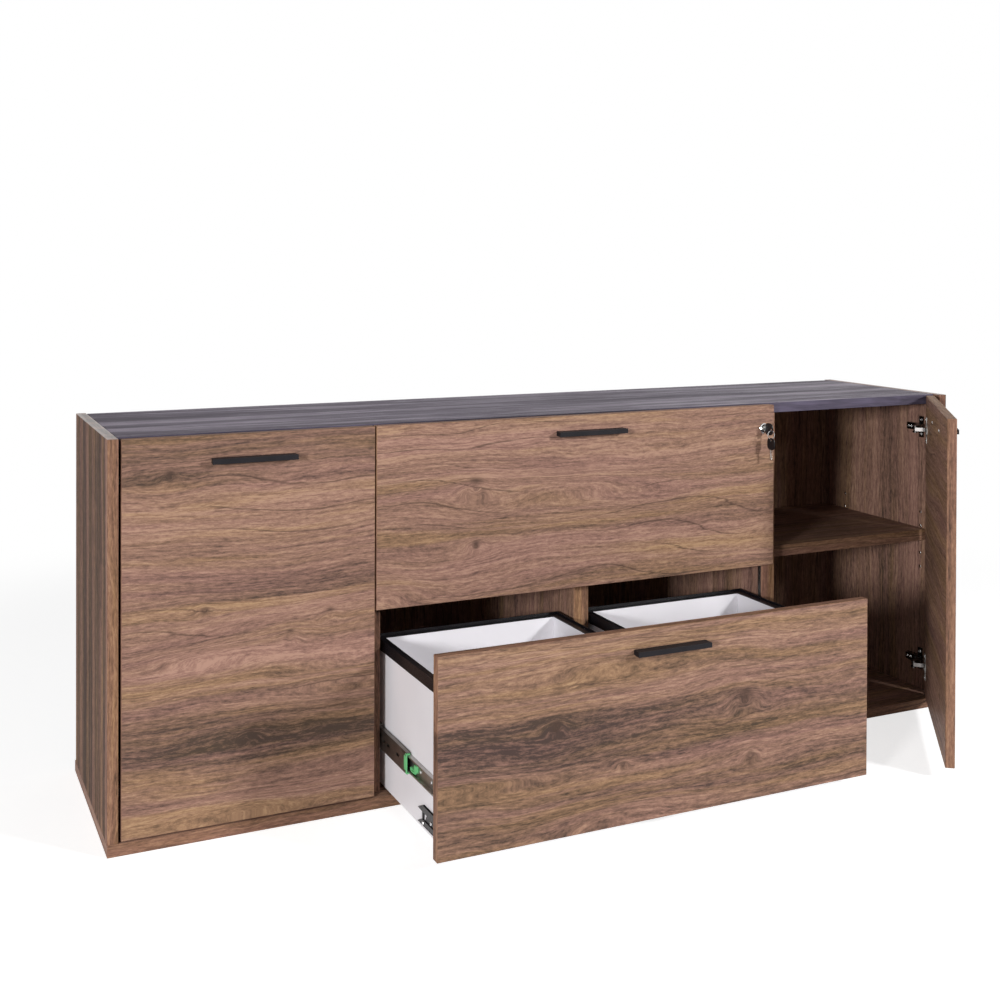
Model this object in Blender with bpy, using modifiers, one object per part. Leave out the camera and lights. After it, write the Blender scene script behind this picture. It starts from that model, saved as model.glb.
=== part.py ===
"""Low office cabinet with two hinged doors and two wide filing drawers.

Metres, +Z up. The origin is the middle of the base's underside, the front looks to -Y and the
left door is at -X. The model rests as it stands in use for this study: the left door and the
upper drawer are shut, the right door and the lower drawer stand open.
"""

import math

import bmesh
import bpy
from mathutils import Euler, Matrix, Vector

# Overall sizes
WIDTH = 1.900
HEIGHT = 0.730
TOP_DEPTH = 0.390
BACK_INSET = 0.0057
BASE_REACH = 0.014

# Boards
BASE_BOARD = 0.022
TOP_BOARD = 0.022
SIDE_BOARD = 0.019
FRONT_BOARD = 0.019
PARTITION_BOARD = 0.034
SHELF_BOARD = 0.025
BACK_BOARD = 0.008
EDGE_ROUND = 0.0008
SEAT = 0.0003

# Layout of the fronts
PARTITION_INSET = 0.4905
SWING_CLEARANCE = 0.00035
CENTRE_SETBACK = 0.013
DOOR_SIDE_GAP = 0.0045
FRONT_JOINT = 0.003
FRONT_FLOOR_GAP = 0.003
TOP_REVEAL = 0.002

# Shelves, their pins and the rows of pin holes
SHELF_UNDERSIDE = 0.3825
SHELF_SETBACK = 0.019
SHELF_SIDE_GAP = 0.001
PIN_RADIUS = 0.0024
PIN_LENGTH = 0.009
PIN_SINK = 0.006
PIN_ROW_FRONT = 0.0635
PIN_ROW_REAR = 0.340
HOLE_PITCH = 0.0325
HOLE_RADIUS = 0.0025
HOLE_DEPTH = 0.010
HOLES_EACH_WAY = 2

# Handles
HANDLE_LENGTH = 0.157
HANDLE_HEIGHT = 0.0095
HANDLE_REACH = 0.021
HANDLE_LIP = 0.004
HANDLE_TOP = 0.003
HANDLE_LEG = 0.010
HANDLE_FLARE = 0.002
DOOR_HANDLE_DROP = 0.0455
UPPER_HANDLE_DROP = 0.0345
LOWER_HANDLE_DROP = 0.0395
HANDLE_ROUND = 0.0008

# Drawer boxes and file rails
BOX_WALL = 0.015
BOX_FLOOR = 0.010
BOX_REAR_GAP = 0.0127
LOCK_OVER_BOX = 0.009
BOX_LIFT = 0.0015
RAIL_HEIGHT = 0.0055
RAIL_SHEET = 0.0018
RAIL_HANG = 0.0155
BRACKET_LENGTH = 0.137
BRACKET_HEIGHT = 0.036
BRACKET_THICK = 0.004
BRACKET_RISE = 0.009
BRACKET_ARM = 0.0125
BRACKET_TIP = 0.020

# Ball-bearing slides
SLIDE_SPACE = 0.013
SLIDE_HEIGHT = 0.045
SLIDE_SHEET = 0.0012
SLIDE_SETBACK = 0.014
SLIDE_REAR_GAP = 0.026
SLIDE_CENTRE = 0.0975
SLIDE_TO_BOX = 0.001
BALL_GAP = 0.0015
LIP_GAP = 0.0005
WEB_GAP = 0.0006
OUTER_LIP = 0.003
MID_LIP = 0.0016
MID_END_GAP = 0.004
INNER_GAP = 0.0036
INNER_LIP = 0.003
INNER_SINK = 0.0006
SLOT_LENGTH = 0.014
SLOT_HEIGHT = 0.005
CATCH_LENGTH = 0.030
CATCH_RISE = 0.0010

# Concealed hinges, measured from the side panel's inner face and from the front plane
PIVOT_IN = 0.0150
PIVOT_BACK = -0.0005
ARM_PIN_IN = 0.0490
ARM_PIN_BACK = 0.0275
CUP_PIN_TO_CENTRE = 0.0112
CUP_PIN_SINK = 0.0082
LINK_RATIO = 0.42
LINK_BOW = 0.0039
HINGE_TOP_DROP = 0.079
HINGE_BOTTOM_RISE = 0.071
CUP_EDGE_DISTANCE = 0.0225
CUP_RADIUS = 0.0174
CUP_WALL = 0.0011
CUP_DEPTH = 0.0115
CUP_FIT = 0.0003
WING_LENGTH = 0.060
WING_WIDTH = 0.016
WING_SHEET = 0.0012
ARM_HEIGHT = 0.016
ARM_START = 0.0485
ARM_END = 0.098
ARM_RISE = 0.0115
ARM_HEEL = (0.022, 0.0375)
PLATE_HEIGHT = 0.050
PLATE_WIDTH = 0.014
PLATE_SHEET = 0.0025
PLATE_BACK = 0.059
LINK_HEIGHT = 0.0084
ARM_EYE = 0.0035
LINK_EYE = 0.0028
LINK_TIP = 0.0016
LINK_HALF = 0.0010
HINGE_PIN_RADIUS = 0.0013

# The link's middle line from the arm's pin to the cup's pin: share of its length, of its bow, half its thickness
LINK_LINE = (
    (0.00, 0.00, LINK_EYE), (0.20, 0.60, LINK_HALF * 1.6), (0.35, 0.85, LINK_HALF * 1.2), (0.50, 1.00, LINK_HALF),
    (0.65, 0.88, LINK_HALF), (0.80, 0.60, LINK_HALF), (0.90, 0.30, LINK_HALF * 1.2), (1.00, 0.00, LINK_TIP),
)

# Lock, keys and locking bar
LOCK_DROP = 0.050
ROSETTE_RADIUS = 0.011
ROSETTE_THICK = 0.004
BARREL_RADIUS = 0.009
BARREL_PROUD = 0.0055
PLUG_RADIUS = 0.006
PLUG_PROUD = 0.0050
CAM_REACH = 0.010
CAM_WIDTH = 0.006
CAM_THICK = 0.0022
CAM_GAP = 0.0015
CAM_CLEARANCE = 0.002
LOCK_FIT = 0.0003
KEY_SHEET = 0.0018
KEY_GRIP_THICK = 0.0026
KEY_GRIP_WIDTH = 0.026
KEY_GRIP_LENGTH = 0.026
KEY_BLADE_WIDTH = 0.0076
KEY_BLADE_IN = 0.010
KEY_NECK = 0.0018
KEY_HOLE_RADIUS = 0.0035
KEY_HOLE_EDGE = 0.0055
RING_RADIUS = 0.0090
RING_WIRE = 0.0008
SPARE_BLADE = 0.023
BAR_WIDTH = 0.010
BAR_THICK = 0.004
BAR_STROKE = 0.008
BAR_FLOOR_GAP = 0.018
BAR_TOP_GAP = 0.014
PEG_HEIGHT = 0.005
PEG_CLEARANCE = 0.0005

# Pose at rest
DOOR_REST_ANGLE = math.radians(52.7)
DRAWER_REST_TRAVEL = 0.312

# Derived places
DOOR_CORNER_SWING = PIVOT_BACK + math.hypot(PIVOT_IN - DOOR_SIDE_GAP, FRONT_BOARD - PIVOT_BACK)
CARCASS_SETBACK = DOOR_CORNER_SWING + SWING_CLEARANCE
SIDE_DEPTH = CARCASS_SETBACK + TOP_DEPTH + SEAT + BACK_BOARD + BACK_INSET
BASE_DEPTH = SIDE_DEPTH + BASE_REACH
LEFT = -WIDTH / 2
RIGHT = WIDTH / 2
FRONT = -BASE_DEPTH / 2
SIDE_INNER = RIGHT - SIDE_BOARD
PARTITION_X = RIGHT - PARTITION_INSET
CARCASS_FRONT = FRONT + CARCASS_SETBACK
BACK_FACE = CARCASS_FRONT + TOP_DEPTH
FRONT_BOTTOM = BASE_BOARD + FRONT_FLOOR_GAP
FRONT_TOP = HEIGHT - TOP_REVEAL
DRAWER_HEIGHT = (FRONT_TOP - FRONT_BOTTOM - FRONT_JOINT) / 2
UPPER_BOTTOM = FRONT_TOP - DRAWER_HEIGHT
DOOR_OUTER = SIDE_INNER - DOOR_SIDE_GAP
DOOR_INNER = PARTITION_X + FRONT_JOINT / 2
DRAWER_EDGE = PARTITION_X - FRONT_JOINT / 2
BAY_OUTER = PARTITION_X - PARTITION_BOARD / 2
BAY_INNER = PARTITION_BOARD / 2
BOX_OUTER = BAY_OUTER - SLIDE_SPACE
BOX_INNER = BAY_INNER + SLIDE_SPACE
BOX_FRONT = FRONT + FRONT_BOARD + SEAT
BOX_LENGTH = BACK_FACE - BOX_REAR_GAP - BOX_FRONT
BOX_HEIGHT = DRAWER_HEIGHT - BOX_LIFT - LOCK_DROP - BARREL_RADIUS - LOCK_OVER_BOX - RAIL_HEIGHT
SLIDE_FRONT = CARCASS_FRONT + SLIDE_SETBACK
SLIDE_LENGTH = BACK_FACE - SLIDE_REAR_GAP - SLIDE_FRONT
OUTER_FAR = SLIDE_SPACE - SLIDE_TO_BOX
MID_NEAR = SEAT + SLIDE_SHEET + BALL_GAP
MID_FAR = OUTER_FAR - SLIDE_SHEET - LIP_GAP
INNER_NEAR = MID_NEAR + SLIDE_SHEET + WEB_GAP
MID_HEIGHT = SLIDE_HEIGHT - 2 * (SLIDE_SHEET + BALL_GAP)
INNER_HEIGHT = MID_HEIGHT - 2 * (SLIDE_SHEET + INNER_GAP)
PIN_Z = SHELF_UNDERSIDE - PIN_RADIUS - SEAT
CUP_PIN_IN = DOOR_SIDE_GAP + CUP_EDGE_DISTANCE - CUP_PIN_TO_CENTRE
CUP_PIN_BACK = FRONT_BOARD - CUP_PIN_SINK
LOCK_X = BAY_OUTER - CAM_REACH - CAM_CLEARANCE
LOCK_Z = FRONT_TOP - LOCK_DROP
BARREL_LENGTH = FRONT_BOARD + BARREL_PROUD
CAM_FRONT = BARREL_LENGTH + CAM_GAP
BAR_GROOVE_BACK = CAM_FRONT - SEAT - PEG_CLEARANCE
BAR_BOTTOM = BASE_BOARD + BAR_FLOOR_GAP
BAR_TOP = HEIGHT - TOP_BOARD - BAR_TOP_GAP
PEG_REACH = CAM_REACH + CAM_CLEARANCE - PLUG_RADIUS - PEG_CLEARANCE

STEEL = ("zinc_steel", (0.58, 0.58, 0.57), 1.0, 0.35)
CHROME = ("chrome", (0.78, 0.78, 0.78), 1.0, 0.12)
WALNUT = ("walnut_decor", (0.36, 0.22, 0.14), 0.0, 0.55)
CHARCOAL = ("charcoal_decor", (0.075, 0.07, 0.08), 0.0, 0.5)
WHITE = ("white_melamine", (0.80, 0.79, 0.80), 0.0, 0.45)
BLACK = ("black_powder_coat", (0.02, 0.02, 0.022), 0.0, 0.5)


def clear_scene():
    for old in list(bpy.data.objects):
        bpy.data.objects.remove(old)


def new_collection(name):
    made = bpy.data.collections.new(name)
    bpy.context.scene.collection.children.link(made)
    return made


def finish_of(node, finish):
    """Each sub-part has a material of its own, from the finish that it shares with others."""
    name, colour, metallic, roughness = finish
    made = bpy.data.materials.new(f"{node}_{name}")
    made.use_nodes = True
    shader = made.node_tree.nodes["Principled BSDF"]
    shader.inputs["Base Color"].default_value = (*colour, 1.0)
    shader.inputs["Metallic"].default_value = metallic
    shader.inputs["Roughness"].default_value = roughness
    made.diffuse_color = (*colour, 1.0)
    return made


def new_object(name, mesh, collection, parent=None, at=(0.0, 0.0, 0.0)):
    """An object at a world place, under an empty that hasn't been turned or moved yet."""
    made = bpy.data.objects.new(name, mesh)
    collection.objects.link(made)
    made.location = Vector(at)
    if parent is not None:
        made.parent = parent
        made.location -= parent.location
    return made


def mesh_from(fill, name):
    """A mesh from a function that fills a bmesh."""
    work = bmesh.new()
    fill(work)
    mesh = bpy.data.meshes.new(name)
    work.to_mesh(mesh)
    work.free()
    return mesh


def box_mesh(name, size):
    def fill(work):
        bmesh.ops.create_cube(work, size=1.0)
        bmesh.ops.scale(work, vec=Vector(size), verts=work.verts)

    return mesh_from(fill, name)


def round_edges(piece, radius, segments=1):
    bevel = piece.modifiers.new("rounded_edges", "BEVEL")
    bevel.width = radius
    bevel.segments = segments
    bevel.limit_method = "ANGLE"
    bevel.angle_limit = math.radians(40.0)
    return bevel


def board(name, low, high, finish, parent=None, edge=EDGE_ROUND):
    """A rectangular board between two world corners."""
    size = [b - a for a, b in zip(low, high)]
    middle = [(a + b) / 2 for a, b in zip(low, high)]
    piece = new_object(name, box_mesh(name, size), PARTS, parent, middle)
    piece.data.materials.append(finish_of(name, finish))
    if edge:
        round_edges(piece, edge)
    return piece


def cutter_box(name, low, high, parent=None):
    size = [b - a for a, b in zip(low, high)]
    middle = [(a + b) / 2 for a, b in zip(low, high)]
    piece = new_object(name, box_mesh(name, size), CUTTERS, parent, middle)
    return hide(piece)


def hide(piece):
    piece.hide_render = True
    piece.display_type = "WIRE"
    return piece


def rods_mesh(name, places, radius, length, axis, sides=10):
    """Cylinders of one size along X, Y or Z, each about its own middle."""
    turn = {"X": (0.0, math.pi / 2, 0.0), "Y": (math.pi / 2, 0.0, 0.0), "Z": (0.0, 0.0, 0.0)}[axis]

    def fill(work):
        for place in places:
            matrix = Matrix.Translation(place) @ Euler(turn).to_matrix().to_4x4()
            bmesh.ops.create_cone(
                work, cap_ends=True, segments=sides, radius1=radius, radius2=radius, depth=length, matrix=matrix
            )

    return mesh_from(fill, name)


def cutter_rods(name, places, radius, length, axis, parent=None, sides=10):
    piece = new_object(name, rods_mesh(name, places, radius, length, axis, sides), CUTTERS, parent)
    return hide(piece)


def boolean(piece, other, operation):
    step = piece.modifiers.new(f"{operation.lower()}_{other.name}", "BOOLEAN")
    step.operation = operation
    step.solver = "EXACT"
    step.object = other
    return step


def cut(piece, cutter):
    return boolean(piece, cutter, "DIFFERENCE")


def join(piece, helper):
    return boolean(piece, hide(helper), "UNION")


def outline_mesh(name, points, thickness):
    """A flat outline in XY, given thickness evenly about Z: a filled 2D curve made a mesh."""
    curve = bpy.data.curves.new(name, "CURVE")
    curve.dimensions = "2D"
    curve.fill_mode = "BOTH"
    curve.extrude = thickness / 2
    spline = curve.splines.new("POLY")
    spline.points.add(len(points) - 1)
    for point, place in zip(spline.points, points):
        point.co = (place[0], place[1], 0.0, 1.0)
    spline.use_cyclic_u = True
    holder = bpy.data.objects.new(name + "_outline", curve)
    CUTTERS.objects.link(holder)
    graph = bpy.context.evaluated_depsgraph_get()
    mesh = bpy.data.meshes.new_from_object(holder.evaluated_get(graph))
    bpy.data.objects.remove(holder)
    work = bmesh.new()
    work.from_mesh(mesh)
    bmesh.ops.remove_doubles(work, verts=work.verts, dist=1e-6)
    bmesh.ops.recalc_face_normals(work, faces=work.faces)
    work.to_mesh(mesh)
    work.free()
    mesh.name = name
    return mesh


def strap_outline(centres, halves, turns=6):
    """The outline round a bent strap: half a width at each point of its middle line, with round ends."""
    points = [Vector(p) for p in centres]
    left = []
    right = []
    for i, point in enumerate(points):
        ahead = points[min(i + 1, len(points) - 1)] - points[max(i - 1, 0)]
        side = Vector((-ahead.y, ahead.x)).normalized()
        left.append(point + side * halves[i])
        right.append(point - side * halves[i])

    def end(centre, start, half):
        reach = start - centre
        base = math.atan2(reach.y, reach.x)
        return [
            centre + half * Vector((math.cos(base - math.pi * k / turns), math.sin(base - math.pi * k / turns)))
            for k in range(1, turns)
        ]

    return left + end(points[-1], left[-1], halves[-1]) + right[::-1] + end(points[0], right[0], halves[0])


def turned(name, profile, collection, parent=None, at=(0.0, 0.0, 0.0), steps=24, closed=False):
    """A profile of (radius, height) pairs turned about the Y axis through a place, +height to the rear."""
    mesh = bpy.data.meshes.new(name)
    points = [(r, 0.0, h) for r, h in profile]
    lines = [(i, i + 1) for i in range(len(points) - 1)]
    if closed:
        lines.append((len(points) - 1, 0))
    mesh.from_pydata(points, lines, [])
    piece = new_object(name, mesh, collection, parent, at)
    piece.rotation_euler = (-math.pi / 2, 0.0, 0.0)
    screw = piece.modifiers.new("turned", "SCREW")
    screw.steps = steps
    screw.render_steps = steps
    screw.use_merge_vertices = True
    screw.merge_threshold = 0.00001
    screw.use_smooth_shade = True
    return piece


def empty(name, at):
    made = new_object(name, None, PARTS, None, at)
    made.empty_display_size = 0.05
    return made


def swung(place, angle):
    """Where a point of a door, given from the side's inner face and the front, goes as the door opens."""
    u = place[0] - PIVOT_IN
    y = place[1] - PIVOT_BACK
    return Vector((
        PIVOT_IN + u * math.cos(angle) + y * math.sin(angle),
        PIVOT_BACK - u * math.sin(angle) + y * math.cos(angle),
    ))


def pin_places(face_x, hand, heights, into, out):
    """Middles of rods along X in a panel's face, hand +1 for a face that looks to +X."""
    return [
        (face_x + hand * (out - into) / 2, FRONT + row, z)
        for row in (PIN_ROW_FRONT, PIN_ROW_REAR)
        for z in heights
    ]


def add_pins(panel, face_x, hand):
    """The shelf pins that stand in a panel's face, and the free holes of the same two rows."""
    steps = [k for k in range(-HOLES_EACH_WAY, HOLES_EACH_WAY + 1) if k]
    heights = [PIN_Z + k * HOLE_PITCH for k in steps]
    holes = cutter_rods(
        panel.name + "_holes", pin_places(face_x, hand, heights, HOLE_DEPTH, HOLE_DEPTH),
        HOLE_RADIUS, 2 * HOLE_DEPTH, "X", sides=8,
    )
    cut(panel, holes)
    pins = cutter_rods(
        panel.name + "_pins", pin_places(face_x, hand, [PIN_Z], PIN_SINK, PIN_LENGTH),
        PIN_RADIUS, PIN_SINK + PIN_LENGTH, "X", sides=10,
    )
    join(panel, pins)


def carcass():
    board("base_panel", (LEFT, FRONT, 0.0), (RIGHT, FRONT + BASE_DEPTH, BASE_BOARD), WALNUT)
    over_base = BASE_BOARD + SEAT
    for name, hand in (("side_panel_left", 1), ("side_panel_right", -1)):
        outer = -hand * RIGHT
        inner = -hand * SIDE_INNER
        low = (min(outer, inner), FRONT, over_base)
        high = (max(outer, inner), FRONT + SIDE_DEPTH, HEIGHT)
        panel = board(name, low, high, WALNUT)
        add_pins(panel, inner, hand)
    under_top = HEIGHT - TOP_BOARD - SEAT
    back = BACK_FACE - SEAT
    for name, hand in (("partition_left", -1), ("partition_right", 1)):
        centre = hand * PARTITION_X
        low = (centre - PARTITION_BOARD / 2, CARCASS_FRONT, over_base)
        high = (centre + PARTITION_BOARD / 2, back, under_top)
        panel = board(name, low, high, WALNUT)
        add_pins(panel, centre + hand * PARTITION_BOARD / 2, hand)
        if hand > 0:
            cut(panel, bar_groove())
    board(
        "partition_center",
        (-PARTITION_BOARD / 2, CARCASS_FRONT + CENTRE_SETBACK, over_base),
        (PARTITION_BOARD / 2, back, under_top), WALNUT,
    )
    edge = SIDE_INNER - SEAT
    board("top_panel", (-edge, CARCASS_FRONT, HEIGHT - TOP_BOARD), (edge, BACK_FACE, HEIGHT), CHARCOAL)
    rear = BACK_FACE + SEAT
    top = HEIGHT - 2 * TOP_REVEAL
    board("back_panel_left", (-edge, rear, over_base), (-SEAT / 2, rear + BACK_BOARD, top), WALNUT, edge=0.0)
    board("back_panel_right", (SEAT / 2, rear, over_base), (edge, rear + BACK_BOARD, top), WALNUT, edge=0.0)
    for name, hand in (("shelf_left", -1), ("shelf_right", 1)):
        near = hand * (PARTITION_X + PARTITION_BOARD / 2 + SHELF_SIDE_GAP)
        far = hand * (SIDE_INNER - SHELF_SIDE_GAP)
        low = (min(near, far), CARCASS_FRONT + SHELF_SETBACK, SHELF_UNDERSIDE)
        high = (max(near, far), back, SHELF_UNDERSIDE + SHELF_BOARD)
        board(name, low, high, WALNUT)


def bar_groove():
    """The groove in the right partition's drawer side, for the locking bar and its stroke."""
    face = BAY_OUTER
    low = (face - 0.002, FRONT + BAR_GROOVE_BACK, BAR_BOTTOM - BAR_STROKE - 0.002)
    high = (face + BAR_THICK + 2 * SEAT, FRONT + BAR_GROOVE_BACK + BAR_WIDTH + 2 * SEAT, BAR_TOP + 0.002)
    return cutter_box("bar_groove", low, high)


def handle(name, centre_x, centre_z, parent):
    """A pull with a closed top, a lip in front and a leg at each end: fingers reach in from below."""
    half = HANDLE_LENGTH / 2
    foot = half - HANDLE_FLARE
    outline = [(-foot, 0.0), (-half, -HANDLE_REACH), (half, -HANDLE_REACH), (foot, 0.0)]
    mesh = outline_mesh(name, outline, HANDLE_HEIGHT)
    at = (centre_x, FRONT - SEAT, centre_z)
    piece = new_object(name, mesh, PARTS, parent, at)
    mesh.materials.append(finish_of(name, BLACK))
    inner = half - HANDLE_LEG
    below = centre_z - HANDLE_HEIGHT
    pocket = cutter_box(
        name + "_pocket", (centre_x - inner, FRONT - HANDLE_REACH + HANDLE_LIP, below),
        (centre_x + inner, FRONT + HANDLE_LIP, centre_z + HANDLE_HEIGHT / 2 - HANDLE_TOP), parent,
    )
    cut(piece, pocket)
    round_edges(piece, HANDLE_ROUND, 2)
    return piece


def profile_rail(name, outline, y_low, y_high, x, z, collection, parent=None):
    """A rolled steel section of (across, up) points, run along Y."""
    mesh = outline_mesh(name, outline, y_high - y_low)
    piece = new_object(name, mesh, collection, parent, (x, (y_low + y_high) / 2, z))
    piece.rotation_euler = (math.pi / 2, 0.0, 0.0)
    return piece


def channel(start, end, half, sheet, lip):
    """A C section with turned-in lips: web at start, open towards end, half its height each way."""
    way = 1.0 if end > start else -1.0
    inside = start + way * sheet
    tip = end - way * sheet
    low = [
        (start, -half), (end, -half), (end, -half + lip), (tip, -half + lip),
        (tip, -half + sheet), (inside, -half + sheet),
    ]
    return low + [(a, -b) for a, b in reversed(low)]


def slide_set(level, number, face_x, hand, box_z, drawer, middle):
    """The cabinet member and the middle member of one slide, and the helper of the drawer member.

    face_x is the partition's face, hand is +1 where the drawer box lies to its +X.
    """
    y_low = SLIDE_FRONT
    y_high = y_low + SLIDE_LENGTH
    z = box_z + SLIDE_CENTRE
    outer_name = f"slide_outer_{level}_{number}"
    section = channel(hand * SEAT, hand * OUTER_FAR, SLIDE_HEIGHT / 2, SLIDE_SHEET, OUTER_LIP)
    outer = profile_rail(outer_name, section, y_low, y_high, face_x, z, PARTS)
    outer.data.materials.append(finish_of(outer_name, STEEL))

    middle_name = f"slide_mid_{level}_{number}"
    web = hand * MID_NEAR
    section = channel(web, hand * MID_FAR, MID_HEIGHT / 2, SLIDE_SHEET, MID_LIP)
    m_low = y_low + MID_END_GAP
    m_high = y_high - MID_END_GAP / 2
    rail = profile_rail(middle_name, section, m_low, m_high, face_x, z, PARTS, middle)
    rail.data.materials.append(finish_of(middle_name, STEEL))
    slots = [m_low + SLOT_LENGTH * k + CATCH_LENGTH for k in (1.4, 5.0, 6.6, 18.0)]
    places = [(face_x + web, y, z) for y in slots]
    windows = new_object(middle_name + "_slots", slot_mesh(middle_name + "_slots", places), CUTTERS, middle)
    cut(rail, hide(windows))
    catch = new_object(
        middle_name + "_catch", box_mesh(middle_name + "_catch", (CATCH_RISE * 1.6, CATCH_LENGTH, MID_HEIGHT * 0.8)),
        CUTTERS, middle, (face_x + web - hand * CATCH_RISE * 0.2, m_low + CATCH_LENGTH / 2 + 0.001, z),
    )
    join(rail, catch)

    box_face = face_x + hand * SLIDE_SPACE
    section = channel(
        hand * INNER_SINK, hand * (INNER_NEAR - SLIDE_SPACE), INNER_HEIGHT / 2, SLIDE_SHEET + INNER_SINK, INNER_LIP
    )
    inner_name = f"slide_inner_{level}_{number}"
    return profile_rail(inner_name, section, y_low, y_high - 0.002, box_face, z, CUTTERS, drawer)


def slot_mesh(name, places):
    def fill(work):
        for place in places:
            matrix = Matrix.Translation(place) @ Matrix.Diagonal((0.006, SLOT_LENGTH, SLOT_HEIGHT, 1.0))
            bmesh.ops.create_cube(work, size=1.0, matrix=matrix)

    return mesh_from(fill, name)


def drawer_box(level, side, x_low, x_high, z_low, drawer, members):
    """An open box of five boards with the slides' drawer members and the front's fixing brackets."""
    name = f"box_{level}_{side}"
    y_low = BOX_FRONT
    y_high = y_low + BOX_LENGTH
    shell = board(name, (x_low, y_low, z_low), (x_high, y_high, z_low + BOX_HEIGHT), WHITE, drawer, edge=0.0)
    hollow = cutter_box(
        name + "_hollow", (x_low + BOX_WALL, y_low + BOX_WALL, z_low + BOX_FLOOR),
        (x_high - BOX_WALL, y_high - BOX_WALL, z_low + BOX_HEIGHT + 0.01), drawer,
    )
    cut(shell, hollow)
    for member in members:
        join(shell, member)
    for hand, x in ((-1, x_low), (1, x_high)):
        join(shell, fixing_bracket(f"{name}_bracket_{'l' if hand < 0 else 'r'}", x, hand, y_low, z_low, drawer))
    return shell


def fixing_bracket(name, x, hand, y_low, z_low, drawer):
    """The bracket low on the box's side that draws the front against the box: two arms on a web."""
    length = BRACKET_LENGTH
    half = BRACKET_HEIGHT / 2
    web = length - BRACKET_TIP
    outline = [
        (0.0, -half), (length, -half), (web, BRACKET_ARM * 0.8 - half), (web, half - BRACKET_ARM),
        (length, half - BRACKET_ARM * 0.9), (web - BRACKET_TIP / 4, half), (0.0, half),
    ]
    mesh = outline_mesh(name, outline, 2 * BRACKET_THICK)
    piece = new_object(name, mesh, CUTTERS, drawer, (x, y_low, z_low + BRACKET_RISE + half))
    piece.rotation_euler = (math.pi / 2, 0.0, math.pi / 2)
    return piece


def file_rail(level, side, x_low, x_high, z_low, drawer):
    """The frame that hanging folders hook on: flat on the box's edge, with a strip round its outside.

    The strip stands above the edge all round, and hangs down outside the box but at the front.
    """
    name = f"file_rail_{level}_{side}"
    y_low = BOX_FRONT + SEAT
    y_high = BOX_FRONT + BOX_LENGTH
    box_top = z_low + BOX_HEIGHT
    top = box_top + SEAT + RAIL_HEIGHT
    out = SEAT + RAIL_SHEET
    low = (x_low - out, y_low, box_top - RAIL_HANG)
    frame = board(name, low, (x_high + out, y_high + out, top), BLACK, drawer, edge=0.0)
    over_box = cutter_box(
        name + "_over_box", (x_low - SEAT, y_low - RAIL_HANG, box_top - 2 * RAIL_HANG),
        (x_high + SEAT, y_high + SEAT, box_top + SEAT), drawer,
    )
    within = cutter_box(
        name + "_within", (x_low - SEAT, y_low + RAIL_SHEET, box_top + SEAT + RAIL_SHEET),
        (x_high + SEAT, y_high + SEAT, top + RAIL_HANG), drawer,
    )
    window = cutter_box(
        name + "_window", (x_low + BOX_WALL, y_low + BOX_WALL, box_top - 3 * RAIL_HANG),
        (x_high - BOX_WALL, y_high - BOX_WALL, top + 2 * RAIL_HANG), drawer,
    )
    cut(frame, over_box)
    cut(frame, within)
    cut(frame, window)
    return frame


def drawer(level, z_low, travel):
    """A wide front on two boxes. The empty of the middle members goes half as far as the drawer."""
    moving = empty(f"drawer_{level}", (0.0, FRONT, z_low))
    middle = empty(f"slides_{level}", (0.0, FRONT, z_low))
    front_name = f"drawer_front_{level}"
    front = board(
        front_name, (-DRAWER_EDGE, FRONT, z_low), (DRAWER_EDGE, FRONT + FRONT_BOARD, z_low + DRAWER_HEIGHT),
        WALNUT, moving, edge=EDGE_ROUND,
    )
    drop = UPPER_HANDLE_DROP if level == "upper" else LOWER_HANDLE_DROP
    handle(f"handle_{level}", 0.0, z_low + DRAWER_HEIGHT - drop, moving)
    box_z = z_low + BOX_LIFT
    members = []
    faces = ((-BAY_OUTER, 1), (-BAY_INNER, -1), (BAY_INNER, 1), (BAY_OUTER, -1))
    for number, (face_x, hand) in enumerate(faces, 1):
        members.append(slide_set(level, number, face_x, hand, box_z, moving, middle))
    drawer_box(level, "left", -BOX_OUTER, -BOX_INNER, box_z, moving, members[:2])
    drawer_box(level, "right", BOX_INNER, BOX_OUTER, box_z, moving, members[2:])
    file_rail(level, "left", -BOX_OUTER, -BOX_INNER, box_z, moving)
    file_rail(level, "right", BOX_INNER, BOX_OUTER, box_z, moving)
    if level == "upper":
        lock(front, moving)
    moving.location.y -= travel
    middle.location.y -= travel / 2


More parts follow.
